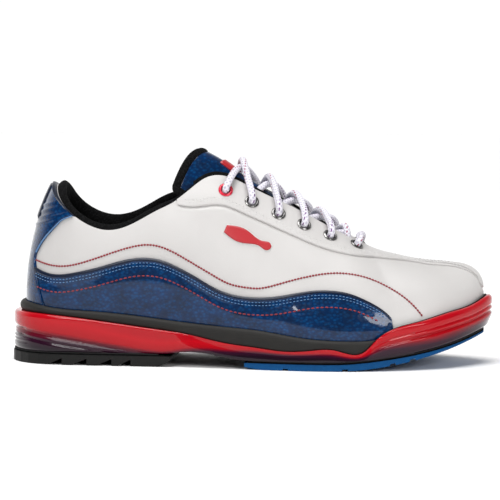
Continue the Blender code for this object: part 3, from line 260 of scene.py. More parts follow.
def outward(s, t):
    """Outward normal of the upper, shared by both sides where they meet on the crest of the vamp."""
    s, t = np.broadcast_arrays(np.asarray(s, float), np.asarray(t, float))

    def one_side(s):
        near = np.clip(t, 0.004, 0.985)
        along = rib(s + 2e-3, near) - rib(s - 2e-3, near)
        up = rib(s, near + 4e-3) - rib(s, near - 4e-3)
        return unit(np.cross(up, along))

    normal = one_side(s)
    crest = smooth(t, 0.9, 1.0) * (folded(s) >= THROAT_BASE - 1e-9)
    return unit(normal + crest[..., None] * one_side(-s))


def top_edge(s):
    """The top edge of the upper, and the directions out of it and up it."""
    top = rib(s, 1.0)
    return top, outward(s, 0.97), unit(top - rib(s, 0.96))


def skin(s, t, out=0.0):
    """A point out millimetres outside the upper."""
    return rib(s, t) + outward(s, t) * np.asarray(out, float)[..., None]


FINE_T = np.linspace(0, 1, 81)


def level(s, line):
    """The t at which each rib first crosses a side_curve."""
    s = np.asarray(s, float)
    points = rib(s[..., None], FINE_T)
    above = points[..., 2] - line(points[..., 0])
    crossed = above > 0
    first = np.where(crossed.any(axis=-1), crossed.argmax(axis=-1), len(FINE_T) - 1)
    before = np.maximum(first - 1, 0)
    a = np.take_along_axis(above, before[..., None], -1)[..., 0]
    b = np.take_along_axis(above, first[..., None], -1)[..., 0]
    share = np.where(first > before, np.clip(a / np.where(a == b, 1, a - b), 0, 1), 0)
    found = FINE_T[before] + share * (FINE_T[first] - FINE_T[before])
    return np.where(crossed.any(axis=-1), found, 1.0)


def folded(s):
    """|s| once s, which may run past the toe, is brought back into -1 to 1."""
    return np.abs(np.mod(s + 1, 2) - 1)


def as_share(s, t, distance):
    """A distance up the rib, as a step of t."""
    step = 5e-3
    t = np.clip(t, step, 1 - step)
    return distance * 2 * step / np.linalg.norm(rib(s, t + step) - rib(s, t - step), axis=-1)


def rib_length(s, t):
    """How long a step of 1 in t is on each rib, as measured near t."""
    return 1 / as_share(s, np.clip(t, 0.1, 0.95), 1.0)


def below_top(s, distance):
    """The t that lies a distance down each rib from the top line."""
    s = np.asarray(s, float)
    points = rib(s[..., None], FINE_T)
    lengths = np.linalg.norm(np.diff(points, axis=-2), axis=-1)[..., ::-1].cumsum(axis=-1)
    distance = np.broadcast_to(distance, s.shape)
    flat = [np.interp(d, np.concatenate([[0], row]), FINE_T[::-1])
            for d, row in zip(distance.ravel(), lengths.reshape(-1, len(FINE_T) - 1))]
    return np.array(flat).reshape(s.shape)


def reach(s, z):
    """How far the upper stands out from the insole edge at height z, seen from above."""
    s, z = np.broadcast_arrays(np.asarray(s, float), np.asarray(z, float))
    points = rib(s[..., None], FINE_T[:41])
    normal = edge_normal(s)[..., None, :]
    out = ((points[..., :2] - EDGE(s)[..., None, :]) * normal).sum(axis=-1)
    rows = zip(z.ravel(), points[..., 2].reshape(-1, 41), out.reshape(-1, 41))
    flat = [np.interp(height, heights, outs) for height, heights, outs in rows]
    return np.array(flat).reshape(s.shape)


def locate(side, x, z):
    """The s and t of points of the upper seen at (x, z) from one side; side is -1 outer, 1 inner."""
    x, z = np.broadcast_arrays(np.asarray(x, float), np.asarray(z, float))
    grid_s, grid_t = np.meshgrid(side * np.linspace(0.02, 0.98, 97), np.linspace(0.02, 0.98, 49),
                                 indexing="ij")
    seen = rib(grid_s, grid_t)[..., (0, 2)]
    target = np.stack([x, z], axis=-1)
    far = ((seen - target[..., None, None, :]) ** 2).sum(axis=-1)
    nearest = far.reshape(x.shape + (-1,)).argmin(axis=-1)
    s, t = grid_s.ravel()[nearest], grid_t.ravel()[nearest]
    for _ in range(12):
        here = rib(s, t)[..., (0, 2)]
        ds = (rib(s + 1e-4, t)[..., (0, 2)] - here) / 1e-4
        dt = (rib(s, t + 1e-4)[..., (0, 2)] - here) / 1e-4
        miss = target - here
        area = ds[..., 0] * dt[..., 1] - ds[..., 1] * dt[..., 0]
        s = s + (miss[..., 0] * dt[..., 1] - miss[..., 1] * dt[..., 0]) / area
        t = np.clip(t + (ds[..., 0] * miss[..., 1] - ds[..., 1] * miss[..., 0]) / area, 0, 1)
    return s, t


# ---- edges seen from the side

MUDGUARD_TOP = side_curve((18, 60.3), (30.5, 56.7), (46, 58.1), (61.5, 61.8), (77, 66.2), (90, 67.8),
                          (102, 66.1), (113, 61.7), (123, 56.5), (133, 50.9), (144, 46.6), (154, 44.9),
                          (173, 45.2), (196, 48.8), (207, 48.9), (218.5, 47.1), (230, 42.5), (241, 35.7),
                          (250, 26.7), (260, 14))
EYESTAY_SEAM = side_curve((100, 102), (106, 101.5), (119, 99.9), (131, 101.1), (139, 100.8),
                          (147, 97.9), (159, 92.6), (184, 81.8), (200, 75.3), (216, 71.1),
                          (231.5, 68.7), (249, 66.5), (268, 63.6), (286, 61.4), (291, 59.5), (296, 55.6),
                          (299, 51))
MIDSOLE_LIP = side_curve((0, 38.8), (10.5, 38.3), (30, 35.8), (60, 33.8), (109, 28.9), (138, 26.3),
                         (164, 24.3), (191.5, 20.2), (211, 18.9), (236, 19.4), (250, 21.8), (266, 25.3),
                         (284, 30.8), (298, 36), (310, 41))
OUTSOLE_RIM = side_curve((0, 32.3), (18.5, 32.1), (60, 28.3), (99, 23.4), (119, 20.6), (138.5, 16.5),
                         (164.5, 13.4), (177, 12), (197, 12.9), (210, 13.3), (219, 11),
                         (225, 10.6), (230, 13), (235.6, 19), (242.5, 24.4), (250, 27.4), (265.6, 31),
                         (284, 36), (298, 40.3), (303, 43.6))
HEEL_OVERLAY_EDGE = Curve([33, 47, 59.8, 66.5, 74, 81, 87.7, 91.5, 94],
                          [26.5, 22, 18.9, 18.2, 21.6, 27, 33.5, 38.6, 45.5])


# ---- making pieces

CENTRE = np.array([LENGTH / 2, -1.0, 0.0])
SHARP_ANGLE = math.radians(50)


def new_object(name, data):
    made = bpy.data.objects.new(name, data)
    bpy.context.collection.objects.link(made)
    return made


def piece(name, points, faces, look, body="shoe", attributes=None):
    """A smooth-shaded piece from drawn points, riding on a CAD body."""
    mesh = bpy.data.meshes.new(name)
    placed = (np.asarray(points, float) - CENTRE) * MM
    mesh.from_pydata([tuple(p) for p in placed], [], [tuple(f) for f in faces])
    material, slot = LOOKS[look]
    mesh.materials.append(material)
    for key, values in (attributes or {}).items():
        mesh.attributes.new(key, "FLOAT", "POINT").data.foreach_set("value", np.asarray(values, float))
    mesh.shade_smooth()
    mesh.set_sharp_from_angle(angle=SHARP_ANGLE)
    made = new_object(name, mesh)
    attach(made, body)
    return made


def grid_faces(rows, columns, keep=None):
    """Faces of a grid of points; keep is a grid of which ones stay."""
    return [(i * columns + j, i * columns + j + 1, (i + 1) * columns + j + 1, (i + 1) * columns + j)
            for i in range(rows - 1) for j in range(columns - 1) if keep is None or keep[i, j]]


def thicken(outer, inner, faces):
    """One closed body between two grids of points, welded wherever the outer grid meets itself."""
    outer, inner = outer.reshape(-1, 3), inner.reshape(-1, 3)
    _, first, same = np.unique(np.round(outer, 3) + 0.0, axis=0, return_index=True, return_inverse=True)
    same, count = np.asarray(same).reshape(-1), len(first)
    sheet, edges = [], {}
    for face in faces:
        corners = [int(same[c]) for c in face]
        corners = [c for k, c in enumerate(corners) if c != corners[k - 1]]
        if len(corners) < 3:
            continue
        sheet.append(corners)
        for k, c in enumerate(corners):
            edges[(corners[k - 1], c)] = True
    walls = [(b, a, a + count, b + count) for a, b in edges if (b, a) not in edges]
    back = [[c + count for c in reversed(face)] for face in sheet]
    points = np.concatenate([outer[first], inner[first]])
    return points, sheet + back + walls, first


def panel(name, s, t, outside, thickness, look, keep=None):
    """A piece of the upper over a grid of (s, t); outside may differ from point to point."""
    s, t = np.broadcast_arrays(s, t)
    outside = np.broadcast_to(outside, s.shape)
    points, faces, _ = thicken(skin(s, t, outside), skin(s, t, outside - thickness),
                               grid_faces(*s.shape, keep))
    return piece(name, points, faces, look)


def rows_between(low, high, shares):
    return low[:, None] + (high - low)[:, None] * shares


def rounded(distance, radius, depth):
    """How far a folded edge falls away at a distance in from it."""
    share = np.clip(1 - distance / radius, 0, 1)
    return depth * (1 - np.sqrt(1 - share ** 2))


def tube_faces(rows, columns, base=0):
    """Faces of a closed tube of loops, whose first point is number base."""
    faces = [(i * columns + j, i * columns + (j + 1) % columns,
              (i + 1) * columns + (j + 1) % columns, (i + 1) * columns + j)
             for i in range(rows - 1) for j in range(columns)]
    ends = [tuple(reversed(range(columns))), tuple(range((rows - 1) * columns, rows * columns))]
    return [tuple(base + corner for corner in face) for face in faces + ends]


def ovals(centre, across, up, count):
    """Loops round a line, each an oval with two half axes."""
    return np.stack([centre + across * math.cos(a) + up * math.sin(a) for a in circle(count)], axis=1)


def sweep(name, sections, look, body="shoe", attributes=None):
    """A body through loops of points, with a flat face at each end."""
    return piece(name, sections.reshape(-1, 3), tube_faces(*sections.shape[:2]), look, body, attributes)


# ---- materials

class Nodes:
    """Shorthand for building one material's node tree."""

    def __init__(self, name, colour, roughness, metallic=0.0, **sockets):
        self.material = bpy.data.materials.new(name)
        self.material.use_nodes = True
        self.tree = self.material.node_tree
        self.shader = self.tree.nodes["Principled BSDF"]
        self.material.diffuse_color = (*colour, 1)
        values = {"Base_Color": (*colour, 1), "Roughness": roughness, "Metallic": metallic, **sockets}
        for key, value in values.items():
            self.shader.inputs[key.replace("_", " ")].default_value = value
        self.place = self.tree.nodes.new("ShaderNodeTexCoord").outputs["Object"]

    def add(self, kind, links=None, **settings):
        node = self.tree.nodes.new("ShaderNode" + kind)
        for key, value in settings.items():
            if hasattr(node, key):
                setattr(node, key, value)
            else:
                node.inputs[key.replace("_", " ")].default_value = value
        for key, source in (links or {}).items():
            self.tree.links.new(source, node.inputs[key])
        return node

    def link(self, source, socket):
        self.tree.links.new(source, self.shader.inputs[socket])

    def noise(self, scale, detail=3.0, stretch=None):
        node = self.add("TexNoise", {"Vector": self.stretched(stretch)}, Scale=scale, Detail=detail)
        return node.outputs["Fac"]

    def cells(self, scale, stretch=None, feature="F1"):
        node = self.add("TexVoronoi", {"Vector": self.stretched(stretch)}, Scale=scale, feature=feature)
        return node.outputs["Distance"]

    def stretched(self, stretch):
        if stretch is None:
            return self.place
        return self.add("Mapping", {"Vector": self.place}, Scale=stretch).outputs["Vector"]

    def ramp(self, source, *stops):
        ramp = self.add("ValToRGB", {"Fac": source})
        elements = ramp.color_ramp.elements
        while len(elements) < len(stops):
            elements.new(0.5)
        for element, (at, colour) in zip(elements, stops):
            element.position = at
            element.color = (*colour, 1)
        return ramp.outputs["Color"]

    def grey_ramp(self, source, *stops):
        return self.ramp(source, *((at, (grey,) * 3) for at, grey in stops))

    def mix(self, factor, a, b, blend="MIX"):
        mixed = self.add("Mix", data_type="RGBA", blend_type=blend)
        factor_socket, a_socket, b_socket = (mixed.inputs[i] for i in (0, 6, 7))
        self.feed((factor_socket, factor), (a_socket, a), (b_socket, b))
        return mixed.outputs[2]

    def math(self, operation, a, b=0.0):
        node = self.add("Math", operation=operation)
        self.feed(*zip(node.inputs, (a, b)))
        return node.outputs["Value"]

    def feed(self, *pairs):
        """Give each socket its number, its colour or what another node puts out."""
        for socket, value in pairs:
            if isinstance(value, (tuple, float)):
                socket.default_value = (*value, 1) if isinstance(value, tuple) else value
            else:
                self.tree.links.new(value, socket)

    def attribute(self, name):
        return self.add("Attribute", attribute_name=name).outputs["Fac"]

    def bump(self, height, strength, distance, below=None):
        links = {"Height": height}
        if below is not None:
            links["Normal"] = below
        return self.add("Bump", links, Strength=strength, Distance=distance).outputs["Normal"]


def noise_look(name, colour, roughness, metallic=0.0, mottle=None, grain=None, **sockets):
    """A material with its colour mottled by one noise and its surface roughened by another."""
    n = Nodes(name, colour, roughness, metallic, **sockets)
    if mottle:
        scale, detail, *colours = mottle
        n.link(n.mix(n.noise(scale, detail), *colours), "Base Color")
    if grain:
        scale, detail, strength, distance = grain
        n.link(n.bump(n.noise(scale, detail), strength, distance), "Normal")
    return n.material


def white_leather():
    n = Nodes("white_leather", (0.70, 0.69, 0.68), 0.42, Coat_Weight=0.12, Coat_Roughness=0.3)
    n.link(n.mix(n.noise(38, 4), (0.54, 0.525, 0.515), (0.49, 0.475, 0.465)), "Base Color")
    n.link(n.grey_ramp(n.noise(900, 2), (0.3, 0.36), (0.7, 0.5)), "Roughness")
    grain = n.bump(n.cells(1000, feature="SMOOTH_F1"), 0.16, 0.0003)
    n.link(n.bump(n.noise(110, 5), 0.1, 0.0012, grain), "Normal")
    return n.material


def blue_patent():
    """Scale-patterned leather under a clear coat."""
    n = Nodes("blue_patent", (0.002, 0.028, 0.1), 0.3, Coat_Weight=0.9, Coat_Roughness=0.05,
              Coat_IOR=1.36, Specular_IOR_Level=0.1)
    scales, patches = n.cells(430, (1.0, 1.0, 1.35)), n.noise(85, 3, (1.0, 1.0, 1.6))
    scaly = n.ramp(scales, (0.05, (0.0012, 0.048, 0.155)), (0.6, (0.0005, 0.018, 0.072)))
    clouded = n.grey_ramp(patches, (0.35, 0.5), (0.66, 1.2))
    n.link(n.mix(0.85, scaly, clouded, "MULTIPLY"), "Base Color")
    n.link(n.grey_ramp(patches, (0.3, 0.34), (0.7, 0.16)), "Roughness")
    n.link(n.bump(scales, 0.28, 0.0005), "Normal")
    return n.material


def red_tpu():
    """Glossy plastic, dark and streaky low down, by the height kept on its points."""
    n = Nodes("red_tpu", (0.7, 0.006, 0.02), 0.22, Coat_Weight=0.8, Coat_Roughness=0.04, Coat_IOR=1.36,
              Specular_IOR_Level=0.08)
    streaks = n.math("MULTIPLY", n.math("SUBTRACT", n.noise(60, 4, (0.35, 0.35, 3.0)), 0.5), 0.16)
    n.link(n.ramp(n.math("ADD", n.attribute("height"), streaks),
                  (0.0, (0.008, 0.0015, 0.007)), (0.24, (0.026, 0.0025, 0.014)),
                  (0.36, (0.12, 0.002, 0.012)), (0.48, (0.34, 0.001, 0.006)),
                  (0.78, (0.44, 0.001, 0.007)), (1.0, (0.38, 0.001, 0.007))), "Base Color")
    n.link(n.bump(n.noise(45, 2, (0.5, 0.5, 2.0)), 0.12, 0.002), "Normal")
    return n.material


def black_textile():
    n = Nodes("black_textile", (0.004, 0.004, 0.0045), 0.95, Specular_IOR_Level=0.15)
    loops = n.cells(850)
    n.link(n.ramp(loops, (0.1, (0.009, 0.009, 0.010)), (0.55, (0.0012, 0.0012, 0.0014))), "Base Color")
    n.link(n.bump(loops, 0.7, 0.0006), "Normal")
    return n.material


def gunmetal():
    n = Nodes("gunmetal_nickel", (0.22, 0.215, 0.21), 0.22, 1.0)
    n.link(n.grey_ramp(n.noise(1800, 2), (0.3, 0.16), (0.7, 0.32)), "Roughness")
    return n.material


def lace_braid():
    """Round braid with two helical tracers of short coloured dashes, and painted shade in the dips between
    its plaits.
    """
    plaits_per_mm, plaits_round, tracer_pitch, dash_pitch = 0.42, 4.0, 60.0, 2.6
    tracer_width, well_above_zero = 0.055, 10.0
    n = Nodes("white_lace", (0.72, 0.70, 0.76), 0.85)
    along, turn = n.attribute("along"), n.attribute("turn")
    braid = None
    for sign in (1.0, -1.0):
        phase = n.math("ADD", n.math("MULTIPLY", along, plaits_per_mm),
                       n.math("MULTIPLY", turn, plaits_round * sign))
        wave = n.math("ABSOLUTE", n.math("SINE", n.math("MULTIPLY", phase, math.pi)))
        braid = wave if braid is None else n.math("MAXIMUM", braid, wave)
    # painted shade: the colour is darker where the braid dips between its plaits, the low parts of the same
    # relief that the bump uses
    colour = n.ramp(braid, (0.5, (0.50, 0.48, 0.57)), (0.9, (0.76, 0.74, 0.80)))
    for offset, tint in ((0.0, (0.30, 0.008, 0.06)), (0.5, (0.12, 0.02, 0.16))):
        wound = n.math("SUBTRACT", turn, n.math("MULTIPLY", along, 1 / tracer_pitch))
        helix = n.math("FRACT", n.math("ADD", wound, well_above_zero + offset))
        dash = n.math("FRACT", n.math("MULTIPLY", along, 1 / dash_pitch))
        on = n.math("MULTIPLY", n.math("LESS_THAN", helix, tracer_width), n.math("LESS_THAN", dash, 0.5))
        colour = n.mix(on, colour, tint)
    n.link(colour, "Base Color")
    n.link(n.bump(braid, 0.8, 0.0005), "Normal")
    return n.material


def thread(name, colour):
    shaded = tuple(0.75 * c for c in colour)
    return noise_look(name, colour, 0.55, mottle=(1800, 2, shaded, colour), Sheen_Weight=0.3)


def plain_inner(name, light, dark, roughness, scale, metallic=0.0):
    return noise_look(name, light, roughness, metallic, mottle=(scale, 4, light, dark),
                      grain=(scale * 3, 3, 0.3, 0.0003))


WHITE_THREAD = thread("white_thread", (0.62, 0.61, 0.60))
# each look's material, and a record slot's name kept beside it
LOOKS = {
    "white": (white_leather(), "white_leather"),
    "blue": (blue_patent(), "blue_patent"),
    "edge": (noise_look("dark_folded_edge", (0.001, 0.006, 0.022), 0.35, grain=(700, 3, 0.3, 0.0003),
                        Coat_Weight=0.25, Coat_Roughness=0.2, Specular_IOR_Level=0.25), "blue_patent"),
    "tpu": (red_tpu(), "red_tpu"),
    "foam": (noise_look("black_foam", (0.022, 0.020, 0.017), 0.62, Specular_IOR_Level=0.3,
                        mottle=(160, 3, (0.014, 0.013, 0.011), (0.009, 0.0085, 0.008)),
                        grain=(1500, 4, 0.25, 0.0002)), "black_foam"),
    "textile": (black_textile(), "black_textile"),
    "nickel": (gunmetal(), "gunmetal_nickel"),
    "red_metal": (noise_look("red_eyelet", (0.66, 0.008, 0.04), 0.28, 0.35, grain=(700, 2, 0.1, 0.0002),
                             Coat_Weight=0.8, Coat_Roughness=0.08), "red_eyelet"),
    "lace": (lace_braid(), "white_lace"),
    "red": (noise_look("red_trim", (0.40, 0.003, 0.010), 0.4, grain=(1400, 2, 0.2, 0.0002),
                       Coat_Weight=0.4, Coat_Roughness=0.2), "red_trim"),
    "insole": (plain_inner("sock_liner", (0.030, 0.030, 0.035), (0.016, 0.016, 0.02), 0.9, 900),
               "sock_liner"),
    "red_thread": (thread("red_thread", (0.26, 0.003, 0.012)), "red_trim"),
    "blue_thread": (thread("light_blue_thread", (0.07, 0.20, 0.42)), "blue_patent"),
    "white_thread": (WHITE_THREAD, "white_leather"),
    "rim": (WHITE_THREAD, "red_trim"),
}


def dress_cad_nodes():
    """Finishes for the CAD nodes that stay as they are, mostly hidden layers."""
    board = plain_inner("fibre_board", (0.50, 0.40, 0.28), (0.36, 0.28, 0.18), 0.9, 300)
    hooks = plain_inner("hook_tape", (0.014, 0.014, 0.014), (0.007, 0.007, 0.007), 0.95, 900)
    plastic = plain_inner("clear_aglet", (0.75, 0.75, 0.78), (0.6, 0.6, 0.64), 0.2, 300)
    loops = LOOKS["textile"][0]
    rubber = noise_look("black_rubber", (0.006, 0.006, 0.0055), 0.6, Specular_IOR_Level=0.25,
                        mottle=(90, 4, (0.007, 0.007, 0.0065), (0.004, 0.004, 0.004)),
                        grain=(1100, 3, 0.35, 0.0003))
    microfibre = noise_look("blue_slide_pad", (0.003, 0.07, 0.22), 0.8, Specular_IOR_Level=0.2,
                            mottle=(500, 5, (0.001, 0.045, 0.15), (0.002, 0.08, 0.24)),
                            grain=(2500, 4, 0.5, 0.0003))
    finishes = {
        "insole_board": board, "heel_counter": board, "toe_puff": board,
        "shank": plain_inner("spring_steel", (0.50, 0.50, 0.52), (0.35, 0.35, 0.37), 0.35, 400, 1.0),
        "cork_filler": plain_inner("cork", (0.45, 0.28, 0.14), (0.22, 0.12, 0.05), 0.95, 350),
        "heel_pad": rubber, "slide_pad": microfibre,
        "heel_pad_loop_backing": loops, "slide_pad_loop_backing": loops,
        "heel_hook_patch": hooks, "sole_hook_patch": hooks,
        "aglet_outer": plastic, "aglet_inner": plastic,
    }
    for node, look in finishes.items():
        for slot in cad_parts[node].material_slots:
            slot.material = look


# ---- sole

WALL_OUT = Curve([0, 0.06, 0.13, 0.27, 0.45, 0.7, 0.85, 1], [9.4, 8.6, 7.2, 6.6, 5.8, 5.8, 5.6, 5.4])
LIP_CLEARANCE = OVERLAY + 2 * GAP + 0.1
LIP_THICKNESS = 2.1
TOE_LIP_THICKNESS = 1.2
SOLE_ROWS = (0.0, 0.33, 0.66, 0.94)
SPINE_START, SPINE_END = 38, 266


def wall_out(s):
    return WALL_OUT(folded(s))


def toe_zone(x):
    """0 where overlays pass inside the lip of the midsole, 1 round the bare toe."""
    return smooth(x, 252, 268)


def lip_inside(s):
    return LIP_CLEARANCE + (GAP + 0.1 - LIP_CLEARANCE) * toe_zone(EDGE(s)[..., 0])


def lip_outside(s):
    thickness = LIP_THICKNESS + (TOE_LIP_THICKNESS - LIP_THICKNESS) * toe_zone(EDGE(s)[..., 0])
    return lip_inside(s) + thickness


def spine(s):
    """The line under the middle of the foot where the two sides of a sole layer meet."""
    x = np.clip((EDGE(s)[..., 0] + EDGE(-s)[..., 0]) / 2, SPINE_START, SPINE_END)
    return np.stack([x, 6 * smooth(x, 180, SPINE_END)], axis=-1)


def sole_rows(s, out, height):
    edge = EDGE(s) + edge_normal(s) * out[:, None]
    rows = [spine(s) + share * (edge - spine(s)) for share in SOLE_ROWS]
    return [np.column_stack([row, height(row[:, 0])]) for row in rows]


def wall_row(s, out, z):
    """A row round the edge at height z, keeping clear of the upper where it bulges."""
    bulge = np.where(z > floor(EDGE(s)[:, 0]), reach(s, z), 0)
    place = EDGE(s) + edge_normal(s) * (out + bulge)[:, None]
    return np.column_stack([place, z])


def pushed_x(s, out):
    return (EDGE(s) + edge_normal(s) * out[:, None])[:, 0]


def round_stations(count):
    """Values of s round the whole shoe, closer together round the heel and the toe."""
    q = np.linspace(-1, 1, count)
    return q - 0.1 * np.sin(2 * math.pi * q)


def cup(name, outer_rows, inner_rows, look, heights=None):
    """A sole layer with an upstanding rim; heights are kept on its outside for the material."""
    outer, inner = np.stack(outer_rows, axis=1), np.stack(inner_rows, axis=1)
    points, faces, first = thicken(outer, inner, grid_faces(*outer.shape[:2]))
    attributes = None
    if heights is not None:
        flat = np.broadcast_to(heights, outer.shape[:2]).reshape(-1)[first]
        attributes = {"height": np.concatenate([flat, flat])}
    return piece(name, points, faces, look, attributes=attributes)


# height at the back, fall over a run forwards, depth and width
HEEL_CREASES = [(22.5, 14.5, 92, 1.5, 1.5), (18.5, 12, 80, 0.8, 1.0)]
RIB_PITCH = 2.2


def groove(z, at, width):
    return np.exp(-((z - at) / width) ** 2)


def outsole_inset(x, z, bottom, rim, share):
    """How far the outsole's wall stands in from its widest line, with its creases and rounded rims."""
    rear, toe = 1 - smooth(x, 70, 112), smooth(x, 232, 250)
    inset = 0
    for high, fall, run, depth, width in HEEL_CREASES:
        inset = inset + depth * rear * groove(z, high - fall * np.clip(x / run, 0, 1.2), width)
    ribs = 0.35 * (1 + np.cos(z * 2 * math.pi / RIB_PITCH)) * smooth(z, 12, 13) * (1 - smooth(z, 22, 23))
    inset = inset + ribs * (1 - smooth(x, 8, 16))
    tall = np.maximum(rim - bottom, 4)
    inset = inset + toe * (1.1 * groove(share * tall, 0.50 * tall, 0.9)
                           + 0.7 * groove(share * tall, 0.68 * tall, 0.7))
    waist = smooth(x, 100, 130) * (1 - smooth(x, 225, 240))
    inset = inset + waist * 1.2 * share ** 2
    inset = inset + 1.2 * np.clip(1 - share / 0.09, 0, 1) ** 2
    return inset


# how far up the wall the dark tint is moved, along the shoe
DARK_SHIFT = Curve([-12, 30, 70, 98, 118, 150, 200, 232, 262, 312],
                   [0.16, 0.06, -0.12, -0.3, -0.2, 0.25, 0.28, 0.1, -0.04, -0.06])


def tpu_outsole():
    """The red cup: sole, creased wall and rounded rim."""
    s = round_stations(420)
    inside, widest = lip_outside(s) + 1.6 * GAP + 0.3 * toe_zone(EDGE(s)[:, 0]), wall_out(s)
    x = pushed_x(s, widest)
    bottom, top, rim = outsole_bottom(x), outsole_top(pushed_x(s, inside)), OUTSOLE_RIM(x)
    outer, inner = sole_rows(s, widest - 1.2, outsole_bottom), sole_rows(s, inside, outsole_top)
    heights = [0.0] * len(outer)
    toe = smooth(x, 262, 285)
    rim_radius = 1 + 1.6 * smooth(x, 250, 275) + 1.6 * (1 - smooth(x, 20, 60))
    shares = np.concatenate([np.linspace(0, 0.8, 34), [0.84, 0.88, 0.91, 0.94, 0.97, 0.99, 1.0]])
    for share in shares:
        z = bottom + (rim - bottom) * share
        below_rim = (1 - share) * (rim - bottom)
        inset = outsole_inset(x, z, bottom, rim, share)
        inset = inset + rounded(below_rim / rim_radius, 1.0, 0.8 * rim_radius)
        upright = toe * np.maximum(reach(s, rim) - reach(s, z), 0) * smooth(share, 0, 0.45)
        outer.append(wall_row(s, np.maximum(widest - inset, inside + 0.8) + upright, z))
        inner.append(wall_row(s, inside, top + (rim - top) * share))
        heights.append(share)
    outer.append(wall_row(s, inside + 0.3, rim))
    inner.append(wall_row(s, inside, rim - 0.05))
    heights.append(1.0)
    tint = np.maximum(np.array(heights) - DARK_SHIFT(x)[:, None], 0)
    made = cup("outsole_cup", outer, inner, "tpu", tint)
    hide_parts("tpu_outsole")


def eva_midsole():
    """The black band that swells out between the outsole's rim and its own lip."""
    s = round_stations(360)
    inside, outside = lip_inside(s), lip_outside(s)
    x = pushed_x(s, outside)
    bottom, top = outsole_top(x) + GAP + 0.1, floor(pushed_x(s, inside))
    rim, lip = OUTSOLE_RIM(pushed_x(s, wall_out(s))), MIDSOLE_LIP(x)
    band = smooth(lip - rim, 1.2, 3.5)
    hidden = np.minimum(rim - 0.2, lip - 1.2)
    shown = np.maximum(rim + GAP, hidden + 0.4)
    outer = sole_rows(s, outside, lambda x: outsole_top(x) + GAP + 0.1)
    inner = sole_rows(s, inside, floor)
    outer += [wall_row(s, outside, bottom), wall_row(s, outside, hidden)]
    inner += [wall_row(s, inside, top), wall_row(s, inside, top + 0.3)]
    for share in np.linspace(0, 1, 14):
        z = shown + (lip - shown) * share
        belly = 0.5 + 0.9 * math.sin(math.pi * min(1, share * 1.15)) ** 0.7
        fall = rounded((1 - share) * np.maximum(lip - shown, 1), 1.6, 1.3)
        outer.append(wall_row(s, outside + band * (belly - fall), z))
        inner.append(wall_row(s, inside, top + 0.3 + (lip - top - 0.3) * share))
    made = cup("midsole_band", outer, inner, "foam")
    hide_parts("eva_midsole")


# ---- leather

WALL_LAP, VAMP_LAP = 0.004, 0.008  # how far each passes the eyestays' rear ends, in |s|
HOLE_MARGIN = 0.7


def seam_level(s):
    return level(s, EYESTAY_SEAM)


def panel_shares(edge_count, count):
    """Shares across a panel that crowd together towards its top edge."""
    close = 1 - np.linspace(0, 1, edge_count, endpoint=False) ** 2 * 0.08
    return np.concatenate([np.linspace(0, 0.92, count), close[::-1]])


def upper_wall():
    """The quarters and the toe, dipping where the eyestays lap over them."""
    s = round_stations(460)
    seam = seam_level(s)
    has_seam = np.abs(s) > EYESTAY_START - WALL_LAP
    top = np.where(has_seam, np.minimum(seam + as_share(s, seam, 1.5), 1), 1)
    shares = panel_shares(10, 34)
    t = rows_between(np.zeros_like(s), top, shares)
    distance = (top[:, None] - t) * rib_length(s, top - 0.02)[:, None]
    dip = np.where(has_seam, 1, 0)[:, None] * 1.1 * (1 - smooth(distance, 0.5, 4.5))
    edge = np.where(has_seam, 0, 1)[:, None] * rounded(distance, 1.0, 0.9)
    made = panel("white_wall", s[:, None], t, -dip - edge, LEATHER - 0.2, "white")
    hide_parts("upper_wall")


def vamp():
    """The top piece, raised a little where it laps over the wall, and open at each eyelet."""
    half = np.concatenate([np.linspace(EYESTAY_START - VAMP_LAP, THROAT_BASE, 150),
                           np.linspace(THROAT_BASE, 1, 70)[1:]])
    s = np.concatenate([half, 2 - half[-2::-1]])
    low, high = seam_level(s), np.ones_like(s)
    shares = np.concatenate([np.linspace(0, 1, 9, endpoint=False) ** 1.5 * 0.1, np.linspace(0.1, 0.97, 40),
                             [0.985, 1.0]])
    t = rows_between(low, high, shares)
    length = rib_length(s, low + 0.05)
    from_seam = (t - low[:, None]) * length[:, None]
    open_top = (folded(s) < THROAT_BASE - 1e-6)[:, None]
    from_top = (1 - t) * length[:, None]
    lift = 0.75 * (1 - smooth(folded(s), 0.88, 0.97))[:, None]
    outside = lift * (1 - smooth(from_seam, 1, 16)) - rounded(from_seam, 0.9, 0.8)
    outside = outside - open_top * rounded(from_top, 0.9, 0.8)
    fold = (t[:-1, :-1] + t[1:, 1:]) / 2
    middle_s = np.broadcast_to(((s[:-1] + s[1:]) / 2)[:, None], fold.shape)
    centres = skin(middle_s, fold)
    keep = np.ones(fold.shape, bool)
    for side in (-1, 1):
        for row in range(len(EYELETS)):
            centre, _ = eyelet_frame(row, side)
            keep &= np.linalg.norm(centres - centre, axis=-1) > EYELET_HOLE_RADIUS + HOLE_MARGIN
    made = panel("vamp_and_eyestays", s[:, None], t, outside, LEATHER, "white", keep)
    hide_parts("vamp_with_eyestays")


def overlay_edge(side, t):
    """The |s| at which the heel overlay ends, at each t."""
    low, high = np.zeros_like(t), np.full_like(t, 0.3)
    for _ in range(30):
        middle = (low + high) / 2
        point = rib(side * middle, t)
        past = point[..., 0] > HEEL_OVERLAY_EDGE(point[..., 2])
        low, high = np.where(past, low, middle), np.where(past, middle, high)
    return (low + high) / 2


def overlay_piping(name, side):
    """The pale folded edge where the heel overlay meets the white leather."""
    t = np.linspace(0.46, 0.985, 110)
    s = side * overlay_edge(side, t)
    centre, normal = skin(s, t, np.full(t.shape, GAP + OVERLAY - 0.3)), outward(s, t)
    across = unit(np.cross(normal, unit(np.gradient(centre, axis=0))))
    sweep(name, ovals(centre, normal * 0.55, across * 0.35, 10), "blue_thread")


LOW_EDGE = 0.012
MUDGUARD_END = 0.775
HEEL_RIDGES = (86.0, 89.6, 93.2, 96.8)
RIDGE_TILT, RIDGE_WIDTH, RIDGE_HEIGHT = 0.28, 0.75, 0.55


